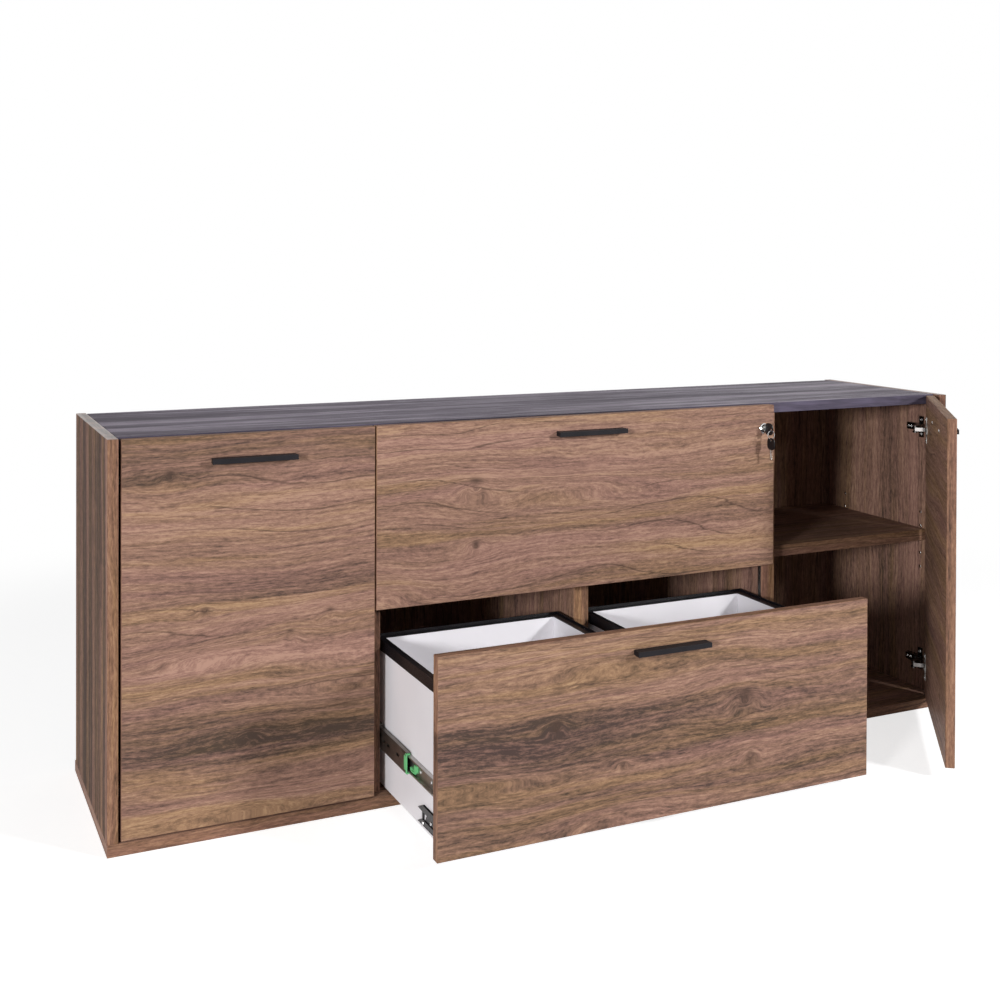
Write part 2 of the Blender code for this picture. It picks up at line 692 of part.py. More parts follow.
def lock(front, moving):
    """A cylinder lock through the upper front, its plug with the cam, the key in it and a spare on a ring."""
    at = (LOCK_X, FRONT, LOCK_Z)
    bore = cutter_rods(
        "lock_bore", [(0.0, 0.0, 0.0)], BARREL_RADIUS + LOCK_FIT, 3 * FRONT_BOARD, "Y", moving, sides=24
    )
    bore.location += Vector(at)
    cut(front, bore)
    hole = PLUG_RADIUS + LOCK_FIT
    housing = turned(
        "lock_housing",
        [
            (hole, BARREL_LENGTH), (BARREL_RADIUS, BARREL_LENGTH), (BARREL_RADIUS, -SEAT),
            (ROSETTE_RADIUS, -SEAT),
            (ROSETTE_RADIUS, -ROSETTE_THICK + 0.0015), (ROSETTE_RADIUS - 0.0015, -ROSETTE_THICK),
            (hole, -ROSETTE_THICK),
        ],
        PARTS, moving, at, closed=True,
    )
    housing.data.materials.append(finish_of("lock_housing", CHROME))

    key_axis = empty("key_turn", at)
    key_axis.parent = moving
    key_axis.location = Vector(at) - moving.location
    cam_front = CAM_FRONT
    plug = turned(
        "lock_plug",
        [
            (0.0, cam_front + CAM_THICK * 0.5), (PLUG_RADIUS, cam_front + CAM_THICK * 0.5),
            (PLUG_RADIUS, -PLUG_PROUD + 0.0005), (PLUG_RADIUS - 0.0005, -PLUG_PROUD), (0.0, -PLUG_PROUD),
        ],
        PARTS, None,
    )
    plug.data.materials.append(finish_of("lock_plug", STEEL))
    under(plug, key_axis)
    cam = board_helper("cam", (CAM_WIDTH, CAM_THICK, CAM_REACH + CAM_WIDTH / 2))
    cam.location = (0.0, cam_front + CAM_THICK / 2, (CAM_REACH - CAM_WIDTH / 2) / 2)
    under(cam, key_axis)
    join(plug, cam)
    keyway = board_helper("keyway", (KEY_SHEET + 2 * LOCK_FIT, KEY_BLADE_IN + 0.02, KEY_BLADE_WIDTH + 2 * LOCK_FIT))
    keyway.location = (0.0, KEY_BLADE_IN - PLUG_PROUD + 0.001 - (KEY_BLADE_IN + 0.02) / 2, 0.0)
    under(keyway, key_axis)
    cut(plug, hide(keyway))

    key = key_piece("key", KEY_BLADE_IN + KEY_NECK, BLACK, PARTS)
    key.rotation_euler = (math.pi / 2, 0.0, math.pi / 2)
    key.location = (0.0, -PLUG_PROUD - KEY_NECK, 0.0)
    under(key, key_axis)
    spare_key(key_axis)


def board_helper(name, size):
    return hide(new_object(name, box_mesh(name, size), CUTTERS))


def under(piece, parent):
    """Puts a piece, placed about the parent's origin, under that parent."""
    piece.parent = parent


def key_piece(name, blade, finish, collection):
    """A flat key in XY: its grip lies to -X with the ring's hole near its end, its blade to +X."""
    half = KEY_GRIP_WIDTH / 2
    corner = 0.006
    length = KEY_GRIP_LENGTH
    outline = []
    for cx, cy, start in (
        (-corner / 2, -half + corner, -90.0), (-corner / 2, half - corner, 0.0),
        (-length + corner, half - corner, 90.0), (-length + corner, -half + corner, 180.0),
    ):
        reach = corner if cx < -corner else corner / 2
        for step in range(4):
            angle = math.radians(start + 30.0 * step)
            outline.append((cx + reach * math.cos(angle), cy + corner * math.sin(angle)))
    key = new_object(name, outline_mesh(name, outline, KEY_GRIP_THICK), collection)
    key.data.materials.append(finish_of(name, finish))
    blade_piece = board_helper(name + "_blade", (blade + 0.004, KEY_BLADE_WIDTH, KEY_SHEET))
    blade_piece.location = (blade / 2 - 0.002, 0.0, 0.0)
    blade_piece.parent = key
    join(key, blade_piece)
    hole = cutter_rods(
        name + "_hole", [(0.0, 0.0, 0.0)], KEY_HOLE_RADIUS, 0.02, "Z", sides=14
    )
    hole.location = (-length + KEY_HOLE_EDGE, 0.0, 0.0)
    hole.parent = key
    cut(key, hole)
    return key


def spare_key(key_axis):
    """The split ring through the key's hole, with the spare key on it. It swings about that hole."""
    hook = empty("spare_swing", (0.0, 0.0, 0.0))
    hook.parent = key_axis
    hook.location = (0.0, -PLUG_PROUD - KEY_NECK - KEY_GRIP_LENGTH + KEY_HOLE_EDGE, 0.0)
    spare = key_piece("spare_key", SPARE_BLADE, BLACK, PARTS)
    wire_top = -(KEY_HOLE_RADIUS - RING_WIRE - SEAT)
    ring_z = wire_top - RING_RADIUS
    spare.parent = hook
    spare.rotation_euler = (0.0, math.pi / 2, 0.0)
    ring_bottom = ring_z - RING_RADIUS
    hole_z = ring_bottom - KEY_HOLE_RADIUS + RING_WIRE * 0.6
    spare.location = (0.0, 0.0, hole_z - KEY_GRIP_LENGTH + KEY_HOLE_EDGE)
    ring = new_object("split_ring", ring_mesh("split_ring"), CUTTERS, None, (0.0, 0.0, 0.0))
    ring.parent = hook
    ring.location = (0.0, 0.0, ring_z)
    join(spare, ring)


def ring_mesh(name, around=24, sides=6):
    """A wire ring in XZ: a circle swept round by a small circle."""
    curve = bpy.data.curves.new(name, "CURVE")
    curve.dimensions = "3D"
    curve.bevel_depth = RING_WIRE
    curve.bevel_resolution = 1
    spline = curve.splines.new("POLY")
    spline.points.add(around - 1)
    for k, point in enumerate(spline.points):
        angle = 2 * math.pi * k / around
        point.co = (RING_RADIUS * math.sin(angle), 0.0, RING_RADIUS * math.cos(angle), 1.0)
    spline.use_cyclic_u = True
    holder = bpy.data.objects.new(name + "_path", curve)
    CUTTERS.objects.link(holder)
    graph = bpy.context.evaluated_depsgraph_get()
    mesh = bpy.data.meshes.new_from_object(holder.evaluated_get(graph))
    bpy.data.objects.remove(holder)
    return mesh


def locking_bar():
    """A flat bar in the partition's groove. The cam pushes its peg down as the key turns."""
    face = BAY_OUTER
    y_low = FRONT + BAR_GROOVE_BACK + SEAT
    bar = board(
        "lock_bar", (face + SEAT, y_low, BAR_BOTTOM), (face + SEAT + BAR_THICK, y_low + BAR_WIDTH, BAR_TOP),
        STEEL, edge=0.0,
    )
    peg_top = LOCK_Z - CAM_WIDTH / 2 - 0.0005 + BAR_STROKE
    cam_front = FRONT + CAM_FRONT
    peg = board_helper("peg", (PEG_REACH + 0.002, CAM_THICK, PEG_HEIGHT))
    peg.location = (face + SEAT + 0.002 - (PEG_REACH + 0.002) / 2, cam_front + CAM_THICK / 2, peg_top - PEG_HEIGHT / 2)
    join(bar, peg)


def hinge_cup(name, x, z, hand, door):
    """The steel cup in the door's bore, with its two screw wings and a notch where the link passes."""
    inner = FRONT + FRONT_BOARD
    low = -CUP_DEPTH
    lip = 0.0009
    cup = turned(
        name,
        [
            (0.0, low + CUP_WALL), (CUP_RADIUS - CUP_WALL, low + CUP_WALL), (CUP_RADIUS - CUP_WALL, lip),
            (CUP_RADIUS, lip), (CUP_RADIUS, low), (0.0, low),
        ],
        PARTS, door, (x, inner, z), steps=20,
    )
    cup.data.materials.append(finish_of(name, STEEL))
    half = WING_WIDTH / 2
    tall = WING_LENGTH / 2
    mid = CUP_RADIUS + 0.0022
    outline = [
        (-half, -tall), (half, -tall), (half, -mid * 0.8), (mid * 0.9, -mid * 0.45), (mid * 0.9, mid * 0.45),
        (half, mid * 0.8), (half, tall), (-half, tall), (-half, mid * 0.8), (-mid * 0.9, mid * 0.45),
        (-mid * 0.9, -mid * 0.45), (-half, -mid * 0.8),
    ]
    wing = new_object(name + "_wing", outline_mesh(name + "_wing", outline, WING_SHEET), CUTTERS)
    wing.parent = cup
    wing.location = (0.0, 0.0, SEAT + WING_SHEET / 2)
    mouth = cutter_rods(name + "_mouth", [(0.0, 0.0, 0.0)], CUP_RADIUS - CUP_WALL / 2, 0.02, "Z", sides=20)
    mouth.parent = cup
    cut(wing, mouth)
    join(cup, wing)
    notch = board_helper(name + "_notch", (0.008, LINK_HEIGHT + 0.003, 0.006))
    notch.location = (-hand * (CUP_RADIUS + 0.0005), 0.0, 0.0)
    notch.parent = cup
    cut(cup, notch)
    return cup


def hinge_arm(name, side, hand, z):
    """The mounting plate on the side panel with the cranked arm that reaches to the link's pin."""

    def at(u, y):
        return (hand * u, y)

    pin = (ARM_PIN_IN, ARM_PIN_BACK)
    base = SEAT
    foot = base + PLATE_SHEET / 2
    r = ARM_EYE
    heel = ARM_HEEL
    outline = [
        at(foot, ARM_START), at(foot, ARM_END), at(ARM_RISE, ARM_END), at(ARM_RISE + 0.002, ARM_START + 0.018),
        at(heel[0] + 0.004, heel[1] + 0.009), at(pin[0] + 0.001, pin[1] + 0.009), at(pin[0] + r, pin[1] + 0.002),
        at(pin[0] + r, pin[1] - 0.0015), at(pin[0] + 0.0015, pin[1] - r), at(pin[0] - 0.0015, pin[1] - r),
        at(pin[0] - r, pin[1] - 0.001), at(heel[0], heel[1]), at(ARM_RISE * 0.75, ARM_START - 0.0006),
    ]
    arm = new_object(name, outline_mesh(name, outline, ARM_HEIGHT), PARTS, None, (side, FRONT, z))
    arm.data.materials.append(finish_of(name, STEEL))
    plate = board_helper(name + "_plate", (PLATE_SHEET, PLATE_WIDTH, PLATE_HEIGHT))
    plate.location = (hand * (base + PLATE_SHEET / 2), PLATE_BACK, 0.0)
    plate.parent = arm
    join(arm, plate)
    slot = board_helper(name + "_fork", (0.020, 0.022, LINK_HEIGHT + 2 * SEAT))
    slot.location = (hand * (pin[0] + 0.0028), pin[1] + 0.0005, 0.0)
    slot.parent = arm
    cut(arm, slot)
    hole = cutter_rods(name + "_pin_hole", [(0.0, 0.0, 0.0)], HINGE_PIN_RADIUS + SEAT, 0.03, "Z", sides=12)
    hole.location = (hand * pin[0], pin[1], 0.0)
    hole.parent = arm
    cut(arm, hole)
    return arm


def link_angle(opening):
    """The link's direction from the arm's pin as the door opens, towards the cup's pin at rest."""
    arm_pin = Vector((ARM_PIN_IN, ARM_PIN_BACK))
    reach = swung((CUP_PIN_IN, CUP_PIN_BACK), DOOR_REST_ANGLE) - arm_pin
    at_rest = math.atan2(reach.y, reach.x)
    return at_rest + LINK_RATIO * (opening - DOOR_REST_ANGLE), reach.length


def hinge_link(name, hand, z, axis):
    """The bowed link between arm and cup, with its pin through the arm's fork."""
    angle, length = link_angle(0.0)
    ahead = Vector((math.cos(angle), math.sin(angle)))
    side = Vector((-ahead.y, ahead.x))
    centres = [ahead * (length * along) + side * (LINK_BOW * bow) for along, bow, half in LINK_LINE]
    halves = [half for along, bow, half in LINK_LINE]
    outline = [(hand * p.x, p.y) for p in strap_outline(centres, halves)]
    link = new_object(name, outline_mesh(name, outline, LINK_HEIGHT), PARTS, None, (0.0, 0.0, 0.0))
    link.data.materials.append(finish_of(name, STEEL))
    link.parent = axis
    link.location = (0.0, 0.0, z)
    pin = cutter_rods(name + "_pin", [(0.0, 0.0, 0.0)], HINGE_PIN_RADIUS, ARM_HEIGHT, "Z", sides=12)
    pin.parent = link
    join(link, pin)
    return link


def door(side, hand, opening):
    """A door with its handle, its two hinge cups, the arms on the side panel and the links between."""
    face = -hand * SIDE_INNER
    pivot = empty(f"door_{side}_pivot", (face + hand * PIVOT_IN, FRONT + PIVOT_BACK, 0.0))
    outer = -hand * DOOR_OUTER
    inner = -hand * DOOR_INNER
    low = (min(outer, inner), FRONT, FRONT_BOTTOM)
    high = (max(outer, inner), FRONT + FRONT_BOARD, FRONT_TOP)
    panel = board(f"door_{side}", low, high, WALNUT, pivot)
    handle(f"handle_{side}", (outer + inner) / 2, FRONT_TOP - DOOR_HANDLE_DROP, pivot)
    links = empty(f"links_{side}", (face + hand * ARM_PIN_IN, FRONT + ARM_PIN_BACK, 0.0))
    heights = (("top", FRONT_TOP - HINGE_TOP_DROP), ("bottom", FRONT_BOTTOM + HINGE_BOTTOM_RISE))
    for level, z in heights:
        cup_x = outer + hand * CUP_EDGE_DISTANCE
        bore = cutter_rods(
            f"cup_bore_{side}_{level}", [(0.0, 0.0, 0.0)], CUP_RADIUS + CUP_FIT, 2 * (CUP_DEPTH + CUP_FIT), "Y",
            pivot, sides=20,
        )
        bore.location += Vector((cup_x, FRONT + FRONT_BOARD, z))
        cut(panel, bore)
        hinge_cup(f"hinge_cup_{side}_{level}", cup_x, z, hand, pivot)
        hinge_arm(f"hinge_arm_{side}_{level}", face, hand, z)
        hinge_link(f"hinge_link_{side}_{level}", hand, z, links)
    pivot.rotation_euler.z = -hand * opening
    links.rotation_euler.z = hand * LINK_RATIO * opening


clear_scene()
PARTS = new_collection("office_cabinet")
CUTTERS = new_collection("cutters")
carcass()
door("left", 1, 0.0)
door("right", -1, DOOR_REST_ANGLE)
drawer("lower", FRONT_BOTTOM, DRAWER_REST_TRAVEL)
drawer("upper", UPPER_BOTTOM, 0.0)
locking_bar()
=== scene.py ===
"""Looks of the low office cabinet: camera, light, procedural finishes and the small fittings.

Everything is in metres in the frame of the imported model. The front plane is at y = FRONT.
"""

import math

import bmesh
import bpy
from mathutils import Euler, Matrix, Vector


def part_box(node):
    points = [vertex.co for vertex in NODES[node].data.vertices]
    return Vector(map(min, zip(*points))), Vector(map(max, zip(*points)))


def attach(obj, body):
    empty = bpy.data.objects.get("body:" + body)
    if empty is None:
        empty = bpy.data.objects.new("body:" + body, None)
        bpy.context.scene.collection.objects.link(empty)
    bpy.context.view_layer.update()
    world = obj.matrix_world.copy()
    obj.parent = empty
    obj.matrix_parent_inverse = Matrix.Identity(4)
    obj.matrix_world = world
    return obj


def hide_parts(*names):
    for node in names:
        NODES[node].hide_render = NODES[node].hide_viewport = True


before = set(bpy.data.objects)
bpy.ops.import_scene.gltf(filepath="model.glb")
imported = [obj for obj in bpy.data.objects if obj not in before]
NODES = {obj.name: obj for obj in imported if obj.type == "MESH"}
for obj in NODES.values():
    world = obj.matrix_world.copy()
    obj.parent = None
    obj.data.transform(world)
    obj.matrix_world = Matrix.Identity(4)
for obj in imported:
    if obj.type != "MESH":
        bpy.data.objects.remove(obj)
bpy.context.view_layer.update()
CLOSED_BOX_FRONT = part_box("box_upper_left")[0].y
X, Y, Z = 0, 1, 2
SIDES = (("left", -1), ("right", 1))

# Camera
CAMERA_AT = (-1.29264, -2.61178, 1.0489)
CAMERA_YAW = -25.531
CAMERA_PITCH = 0.502
CAMERA_ROLL = 0.210
FOCAL_PIXELS = 1330.97
PRINCIPAL = (524.07, 269.03)
IMAGE_SIZE = 1000.0
SENSOR = 36.0

# Light and floor
WORLD_LIGHT = 0.17
FLOOR_GLOW = 0.70
FLOOR_REACH = 14.0
FLOOR_DROP = 0.0004
GLOW_FROM = 1.6
GLOW_FULL = 2.6
LAMP_AIM = Vector((0.0, 0.0, 0.35))
LAMPS = (
    ("right_lamp", (2.3, -3.8, 2.1), 0.6, 113.0),
    ("left_lamp", (-4.8, -4.0, 1.5), 0.9, 219.0),
)

# Places and sizes of the model that the small pieces need
FRONT = -0.22
FRONT_BOARD = 0.019
SIDE_INNER = 0.931
PARTITION_OUTER = 0.4765
RIGHT_DOOR_EDGE = 0.461
PIN_ROWS = (-0.1565, 0.120)
PIN_Z = 0.3798
PIN_LENGTH = 0.009
HOLE_PITCH = 0.0325
DOOR_ANGLE = 52.7
DOOR_PIVOT = (0.916, -0.2205)
HINGE_HEIGHTS = (0.649, 0.096)
CUP_X = 0.904
CUP_WING = 0.0015
HANDLE_X = 0.69375
HANDLE_SCREW_Z = 0.6825
HANDLE_SCREW_OFF = 0.0735
LOCK = (0.4305, -0.22, 0.678)

# Bevel on the edges of the boxes, the slides' parts and the brackets
SOFT_EDGE = 0.0004

# Drawer boxes
WALL = 0.015
BOX_FLOOR = 0.010
SEAM = 0.0002
RAIL_OUT = 0.0021
RAIL_HANG = 0.0155

# Drawer members of the slides: a rolled channel with a stop plate at its front
CHANNEL_DEPTH = 0.0082
CHANNEL_HALF = 0.015
CHANNEL_SHEET = 0.0012
CHANNEL_LIP = 0.0030
CHANNEL_SHORTER = 0.002
STOP_LENGTH = 0.0045
STOP_HALF = 0.0105
SLIDE_SCREWS = (0.016, 0.060, 0.112, 0.245)
SLIDE_SCREW_RADIUS = 0.0036

# Blocks of the clip, from and to: off the middle member's web, behind its front, above its middle
CLIP_BLOCKS = (
    (-0.0004, 0.0013, -0.0030, -0.0002, -0.0185, 0.0185),
    (-0.0004, 0.0008, -0.0002, 0.0110, -0.0130, 0.0130),
    (0.0, 0.0071, -0.0030, -0.0002, -0.0158, -0.0185),
    (-0.0004, 0.0008, -0.0002, 0.0040, -0.0148, -0.0185),
    (0.0, 0.0071, -0.0030, -0.0002, 0.0158, 0.0185),
    (-0.0004, 0.0008, -0.0002, 0.0040, 0.0148, 0.0185),
)

# Blocks of the lever, from and to: off the box's side, behind the box's front, above the slide's middle
LEVER_BLOCKS = (
    (0.0016, 0.0074, 0.138, 0.147, -0.0050, 0.0075), (0.0016, 0.0052, 0.147, 0.172, -0.0110, -0.0045),
    (0.0052, 0.0074, 0.150, 0.162, -0.0096, -0.0066),
)
LEVER_EDGE = 0.0006

# Fixing brackets: height over the box's foot, size, and how far the arms reach past the web
BRACKET_LIFT = 0.009
BRACKET_LENGTH = 0.137
BRACKET_HEIGHT = 0.036
BRACKET_TAPER = 0.020

# Screws of a bracket: off the box's side, behind the box's front, above the bracket's foot, and radius
BRACKET_SCREWS = (
    (0.0037, 0.1098, 0.0045, 0.0034), (0.0018, 0.0760, 0.0155, 0.0036), (0.0018, 0.020, 0.0155, 0.0036),
)

# Screws of a hinge: how far from the side's inner face, behind the front, above the hinge, and radius
PLATE_SCREWS = (
    (0.0026, 0.059, -0.0165, 0.0040), (0.0026, 0.059, 0.0165, 0.0040),
    (0.0124, 0.080, 0.0, 0.0036), (0.0117, 0.0915, 0.0, 0.0030),
)
CUP_SCREW_OFF = 0.0245
CUP_SCREW_RADIUS = 0.0038
HANDLE_SCREW_RADIUS = 0.0042
SCREW_SUNK = 0.0001

# Profiles of (radius, height): the sleeve on a shelf pin, and the pressed ring in a free hole
LATHE_STEPS = 14
SLEEVE = (
    (0.00262, 0.0), (0.0042, 0.0), (0.0042, 0.0012), (0.00262, 0.0016),
    (0.00262, PIN_LENGTH - 0.0004), (0.0021, PIN_LENGTH + 0.0002),
)
HOLE_RING = ((0.0024, -0.006), (0.0024, 0.0002), (0.0033, 0.0002), (0.0035, 0.0), (0.0026, -0.006))

# Keys
GRIP = 0.026
GRIP_THICK = 0.0026
GRIP_RIM = 0.0005
GRIP_SQUARE = 3.2
GRIP_HOLE_AT = -0.0205
GRIP_POINTS = 32
KEY_HOLE = 0.0035
SPARE_HOLE = 0.0026
KEY_BLADE = 0.0118
SPARE_BLADE = 0.023
BLADE_HALF = 0.0038
BLADE_THICK = 0.0011
BLADE_BACK = -0.001
BLADE_CUTS = (0.0012, 0.0022, 0.0008, 0.0018, 0.0012)
LOCK_COLLAR = 0.0068
RING_RADIUS = 0.0086
RING_DROP = 0.0114
RING_WIRE_RADIUS = 0.00062
RING_DRIFT = 0.0016
RING_TURNS = 2
RING_POINTS = 28
WIRE_POINTS = 8
SPARE_DROP = 0.04392

# Turns of a flat outline: facing +X with its X along +Y, and hanging with its X down
FACING_X = Matrix(((0.0, 0.0, 1.0), (1.0, 0.0, 0.0), (0.0, 1.0, 0.0))).to_4x4()
HANGING = Matrix(((0.0, 0.0, 1.0), (0.0, 1.0, 0.0), (-1.0, 0.0, 0.0))).to_4x4()

# Walnut decor: colours from dark to light, and what changes them
WALNUT_STEPS = (
    (0.00, (0.078, 0.052, 0.044)), (0.25, (0.160, 0.096, 0.074)), (0.50, (0.258, 0.149, 0.112)),
    (0.75, (0.352, 0.205, 0.150)), (1.00, (0.465, 0.285, 0.205)),
)
WALNUT_VEIN = (0.075, 0.046, 0.036)
WALNUT_HUES = ((0.36, (1.00, 0.965, 1.02)), (0.50, (1.0, 1.0, 0.97)), (0.64, (1.02, 1.045, 0.84)))
EDGE_BAND = (0.88, 0.82, 0.75)

# Walnut noises: scale along the grain, across it and in depth, in features per metre
SWAY_NOISE = dict(scale=(1.9, 4.5, 1.0))
RIPPLE_NOISE = dict(scale=(9.0, 16.0, 3.0))
DRIFT_NOISE = dict(scale=(2.4, 5.0, 1.0), detail=1.0, shift=(4.0, 9.0, 2.0))
BROAD_NOISE = dict(scale=(1.1, 15.0, 9.0), detail=3.0, roughness=0.55)
STREAK_NOISE = dict(scale=(2.6, 90.0, 30.0), detail=4.0, roughness=0.70)
FLECK_NOISE = dict(scale=(20.0, 230.0, 100.0), detail=3.0, roughness=0.70)
DASH_NOISE = dict(scale=(62.0, 280.0, 200.0), detail=3.0, roughness=0.80, shift=(5.0, 2.0, 4.0))
PORE_NOISE = dict(scale=(70.0, 1500.0, 500.0), detail=1.0)
VEIN_NOISE = dict(scale=(2.2, 11.0, 8.0), shift=(3.0, 7.0, 1.0))
WARMTH_NOISE = dict(scale=(1.3, 24.0, 12.0), detail=3.0, roughness=0.65, shift=(8.0, 1.0, 6.0))

# Walnut grain: how far its lines sway, in metres, and how much each noise adds to the tone
SWAY = 0.060
RIPPLE = 0.010
DRIFT = 0.110
KNOT_PULL = -0.50
KNOT_RINGS = 0.8
ARCH_PULL = 0.024
MIDDLE_TONE = 0.60
BROAD_GAIN = 0.75
STREAK_GAIN = 1.30
FLECK_GAIN = 1.25
DASH_GAIN = 1.45
PLANK_GAIN = 0.85
PLANK_START = 0.5
PATCH_GAIN = 0.55
PATCH_EDGE = 0.0015
VEINS_A_METRE = 26.0
VEIN_WIDTH = 0.044
FACE_LIMIT = 0.6

# Planks of each board: (place across the grain, tone from there on)
# The left side's planks are mostly low tones: their stripes are the board's own, and their overall darkness
# is partly painted shade on that side.
SIDE_PLANKS = (
    (-0.5, 0.55), (0.018, 0.02), (0.045, 0.42), (0.075, 0.16), (0.110, 0.02), (0.150, 0.40), (0.185, 0.05),
    (0.235, 0.32), (0.270, 0.00), (0.320, 0.28), (0.360, 0.05), (0.395, 0.36), (0.420, 0.55),
)
INNER_PLANKS = (
    (-0.5, 0.55), (0.018, 0.52), (0.070, 0.66), (0.140, 0.46), (0.210, 0.62), (0.300, 0.50),
    (0.360, 0.60), (0.420, 0.55),
)
DOOR_PLANKS = ((-0.5, 0.52), (0.087, 0.70), (0.302, 0.65), (0.421, 0.53), (0.595, 0.57))
RIGHT_PLANKS = ((-0.5, 0.61), (0.26, 0.55), (0.44, 0.65), (0.56, 0.59))
UPPER_PLANKS = ((-0.5, 0.74), (0.112, 0.66), (0.228, 0.70))
LOWER_PLANKS = ((-0.5, 0.57), (0.130, 0.46), (0.262, 0.42), (0.300, 0.46))

# Patches of each front: (s, t, reach s, reach t, tone to add, lowest t, highest t)
DOOR_PATCHES = (
    (0.05, 0.050, 0.14, 0.050, -0.42, 0.00, 0.087), (0.36, 0.280, 0.24, 0.040, -0.62, 0.20, 0.302),
    (0.08, 0.270, 0.20, 0.030, -0.28, 0.20, 0.302), (0.12, 0.560, 0.24, 0.045, -0.62, 0.50, 0.595),
    (0.42, 0.560, 0.14, 0.035, -0.36, 0.50, 0.595), (0.30, 0.120, 0.30, 0.030, 0.22, 0.087, 0.30),
    (0.35, 0.360, 0.10, 0.030, 0.10, 0.302, 0.421), (0.10, 0.440, 0.25, 0.020, 0.12, 0.40, 0.60),
    (0.30, 0.660, 0.30, 0.030, 0.10, 0.595, 0.80), (0.10, 0.195, 0.10, 0.030, -0.15, 0.087, 0.302),
)
RIGHT_PATCHES = ((0.12, 0.20, 0.20, 0.05, -0.30, 0.0, 0.26), (0.30, 0.52, 0.25, 0.05, -0.35, 0.44, 0.56))
UPPER_PATCHES = (
    (0.10, 0.170, 0.18, 0.045, -0.22, 0.112, 0.228), (0.70, 0.160, 0.30, 0.040, -0.10, 0.00, 0.40),
    (0.30, 0.060, 0.35, 0.035, 0.22, 0.00, 0.40), (0.45, 0.235, 0.35, 0.020, -0.20, 0.00, 0.40),
    (0.80, 0.265, 0.30, 0.035, 0.15, 0.00, 0.40), (0.10, 0.300, 0.20, 0.050, -0.10, 0.00, 0.40),
    (0.75, 0.110, 0.18, 0.020, -0.15, 0.00, 0.40), (0.65, 0.080, 0.20, 0.020, 0.22, 0.00, 0.40),
)
LOWER_PATCHES = (
    (0.10, 0.150, 0.26, 0.045, -0.62, 0.130, 0.40), (0.33, 0.160, 0.22, 0.030, -0.45, 0.130, 0.40),
    (0.62, 0.150, 0.14, 0.050, -0.16, 0.00, 0.40), (0.88, 0.205, 0.16, 0.035, -0.18, 0.00, 0.40),
    (0.30, 0.215, 0.30, 0.020, -0.28, 0.00, 0.40), (0.10, 0.045, 0.25, 0.040, 0.22, 0.00, 0.13),
    (0.78, 0.230, 0.20, 0.030, 0.20, 0.00, 0.40), (0.45, 0.300, 0.40, 0.030, 0.05, 0.00, 0.40),
    (0.85, 0.100, 0.15, 0.020, -0.25, 0.00, 0.40), (0.50, 0.100, 0.15, 0.020, 0.15, 0.00, 0.13),
)

# Knots of each front: (s, t, size)
DOOR_KNOTS = (
    (0.084, 0.073, 0.018), (0.145, 0.315, 0.014), (0.378, 0.351, 0.014), (0.301, 0.383, 0.016),
    (0.229, 0.555, 0.015),
)
RIGHT_KNOTS = ((0.30, 0.36, 0.016), (0.12, 0.60, 0.018))
UPPER_KNOTS = ((0.205, 0.136, 0.026), (0.205, 0.247, 0.016))
LOWER_KNOTS = ((0.225, 0.155, 0.020), (0.625, 0.163, 0.030), (0.637, 0.268, 0.016), (0.360, 0.240, 0.010))

# Arches of each front: (s, t, length, half width, strength), with a tip that points to +s
DOOR_ARCHES = (
    (0.388, 0.678, 0.25, 0.026, 1.0), (0.330, 0.470, -0.16, 0.016, 1.0), (0.060, 0.395, -0.15, 0.020, 0.7),
)
UPPER_ARCHES = ((0.627, 0.140, 0.30, 0.030, 1.0), (0.110, 0.315, 0.12, 0.035, 1.0))
LOWER_ARCHES = (
    (0.107, 0.045, -0.30, 0.030, 1.0), (0.175, 0.229, 0.22, 0.018, 1.0), (0.170, 0.323, -0.20, 0.030, 1.0),
)

# Charcoal decor of the top: its colours are partly the decor's own and partly a painted sheen that lightens
# and tints the top face; TOP_FRONT dims the front and back faces, which lack that painted sheen
TOP_STEPS = ((0.38, (0.020, 0.016, 0.024)), (0.5, (0.090, 0.072, 0.101)), (0.62, (0.235, 0.190, 0.255)))
TOP_FRONT = (0.48, 0.52, 0.60)
TOP_TINT = (0.98, 0.86, 1.0, 1.0)
TOP_SWAY = 0.07
TOP_WAVE_NOISE = dict(scale=(1.6, 6.0, 6.0), detail=3.0)
TOP_BROAD_NOISE = dict(scale=(1.4, 20.0, 10.0), detail=3.0)
TOP_STREAK_NOISE = dict(scale=(4.0, 120.0, 60.0), detail=3.0, roughness=0.65)
TOP_FIBRE_NOISE = dict(scale=(24.0, 1000.0, 400.0))

# Scale of the drawing marks on steel
BRUSH = (60.0, 14.0, 900.0)


def camera():
    """The photograph's camera, as fitted to the cabinet's edges."""
    yaw = math.radians(CAMERA_YAW)
    pitch = math.radians(CAMERA_PITCH)
    roll = math.radians(CAMERA_ROLL)
    level = Vector((-math.sin(yaw), math.cos(yaw), 0.0))
    right = Vector((math.cos(yaw), math.sin(yaw), 0.0))
    forward = level * math.cos(pitch) - Vector((0.0, 0.0, math.sin(pitch)))
    up = level * math.sin(pitch) + Vector((0.0, 0.0, math.cos(pitch)))
    turned_right = right * math.cos(roll) + up * math.sin(roll)
    turned_up = up * math.cos(roll) - right * math.sin(roll)
    data = bpy.data.cameras.new("camera")
    data.sensor_width = SENSOR
    data.lens = FOCAL_PIXELS * SENSOR / IMAGE_SIZE
    data.shift_x = (IMAGE_SIZE / 2 - PRINCIPAL[0]) / IMAGE_SIZE
    data.shift_y = (PRINCIPAL[1] - IMAGE_SIZE / 2) / IMAGE_SIZE
    data.clip_end = 50.0
    made = bpy.data.objects.new("camera", data)
    bpy.context.scene.collection.objects.link(made)
    turn = Matrix((turned_right, turned_up, -forward)).transposed()
    made.matrix_world = Matrix.Translation(CAMERA_AT) @ turn.to_4x4()
    bpy.context.scene.camera = made


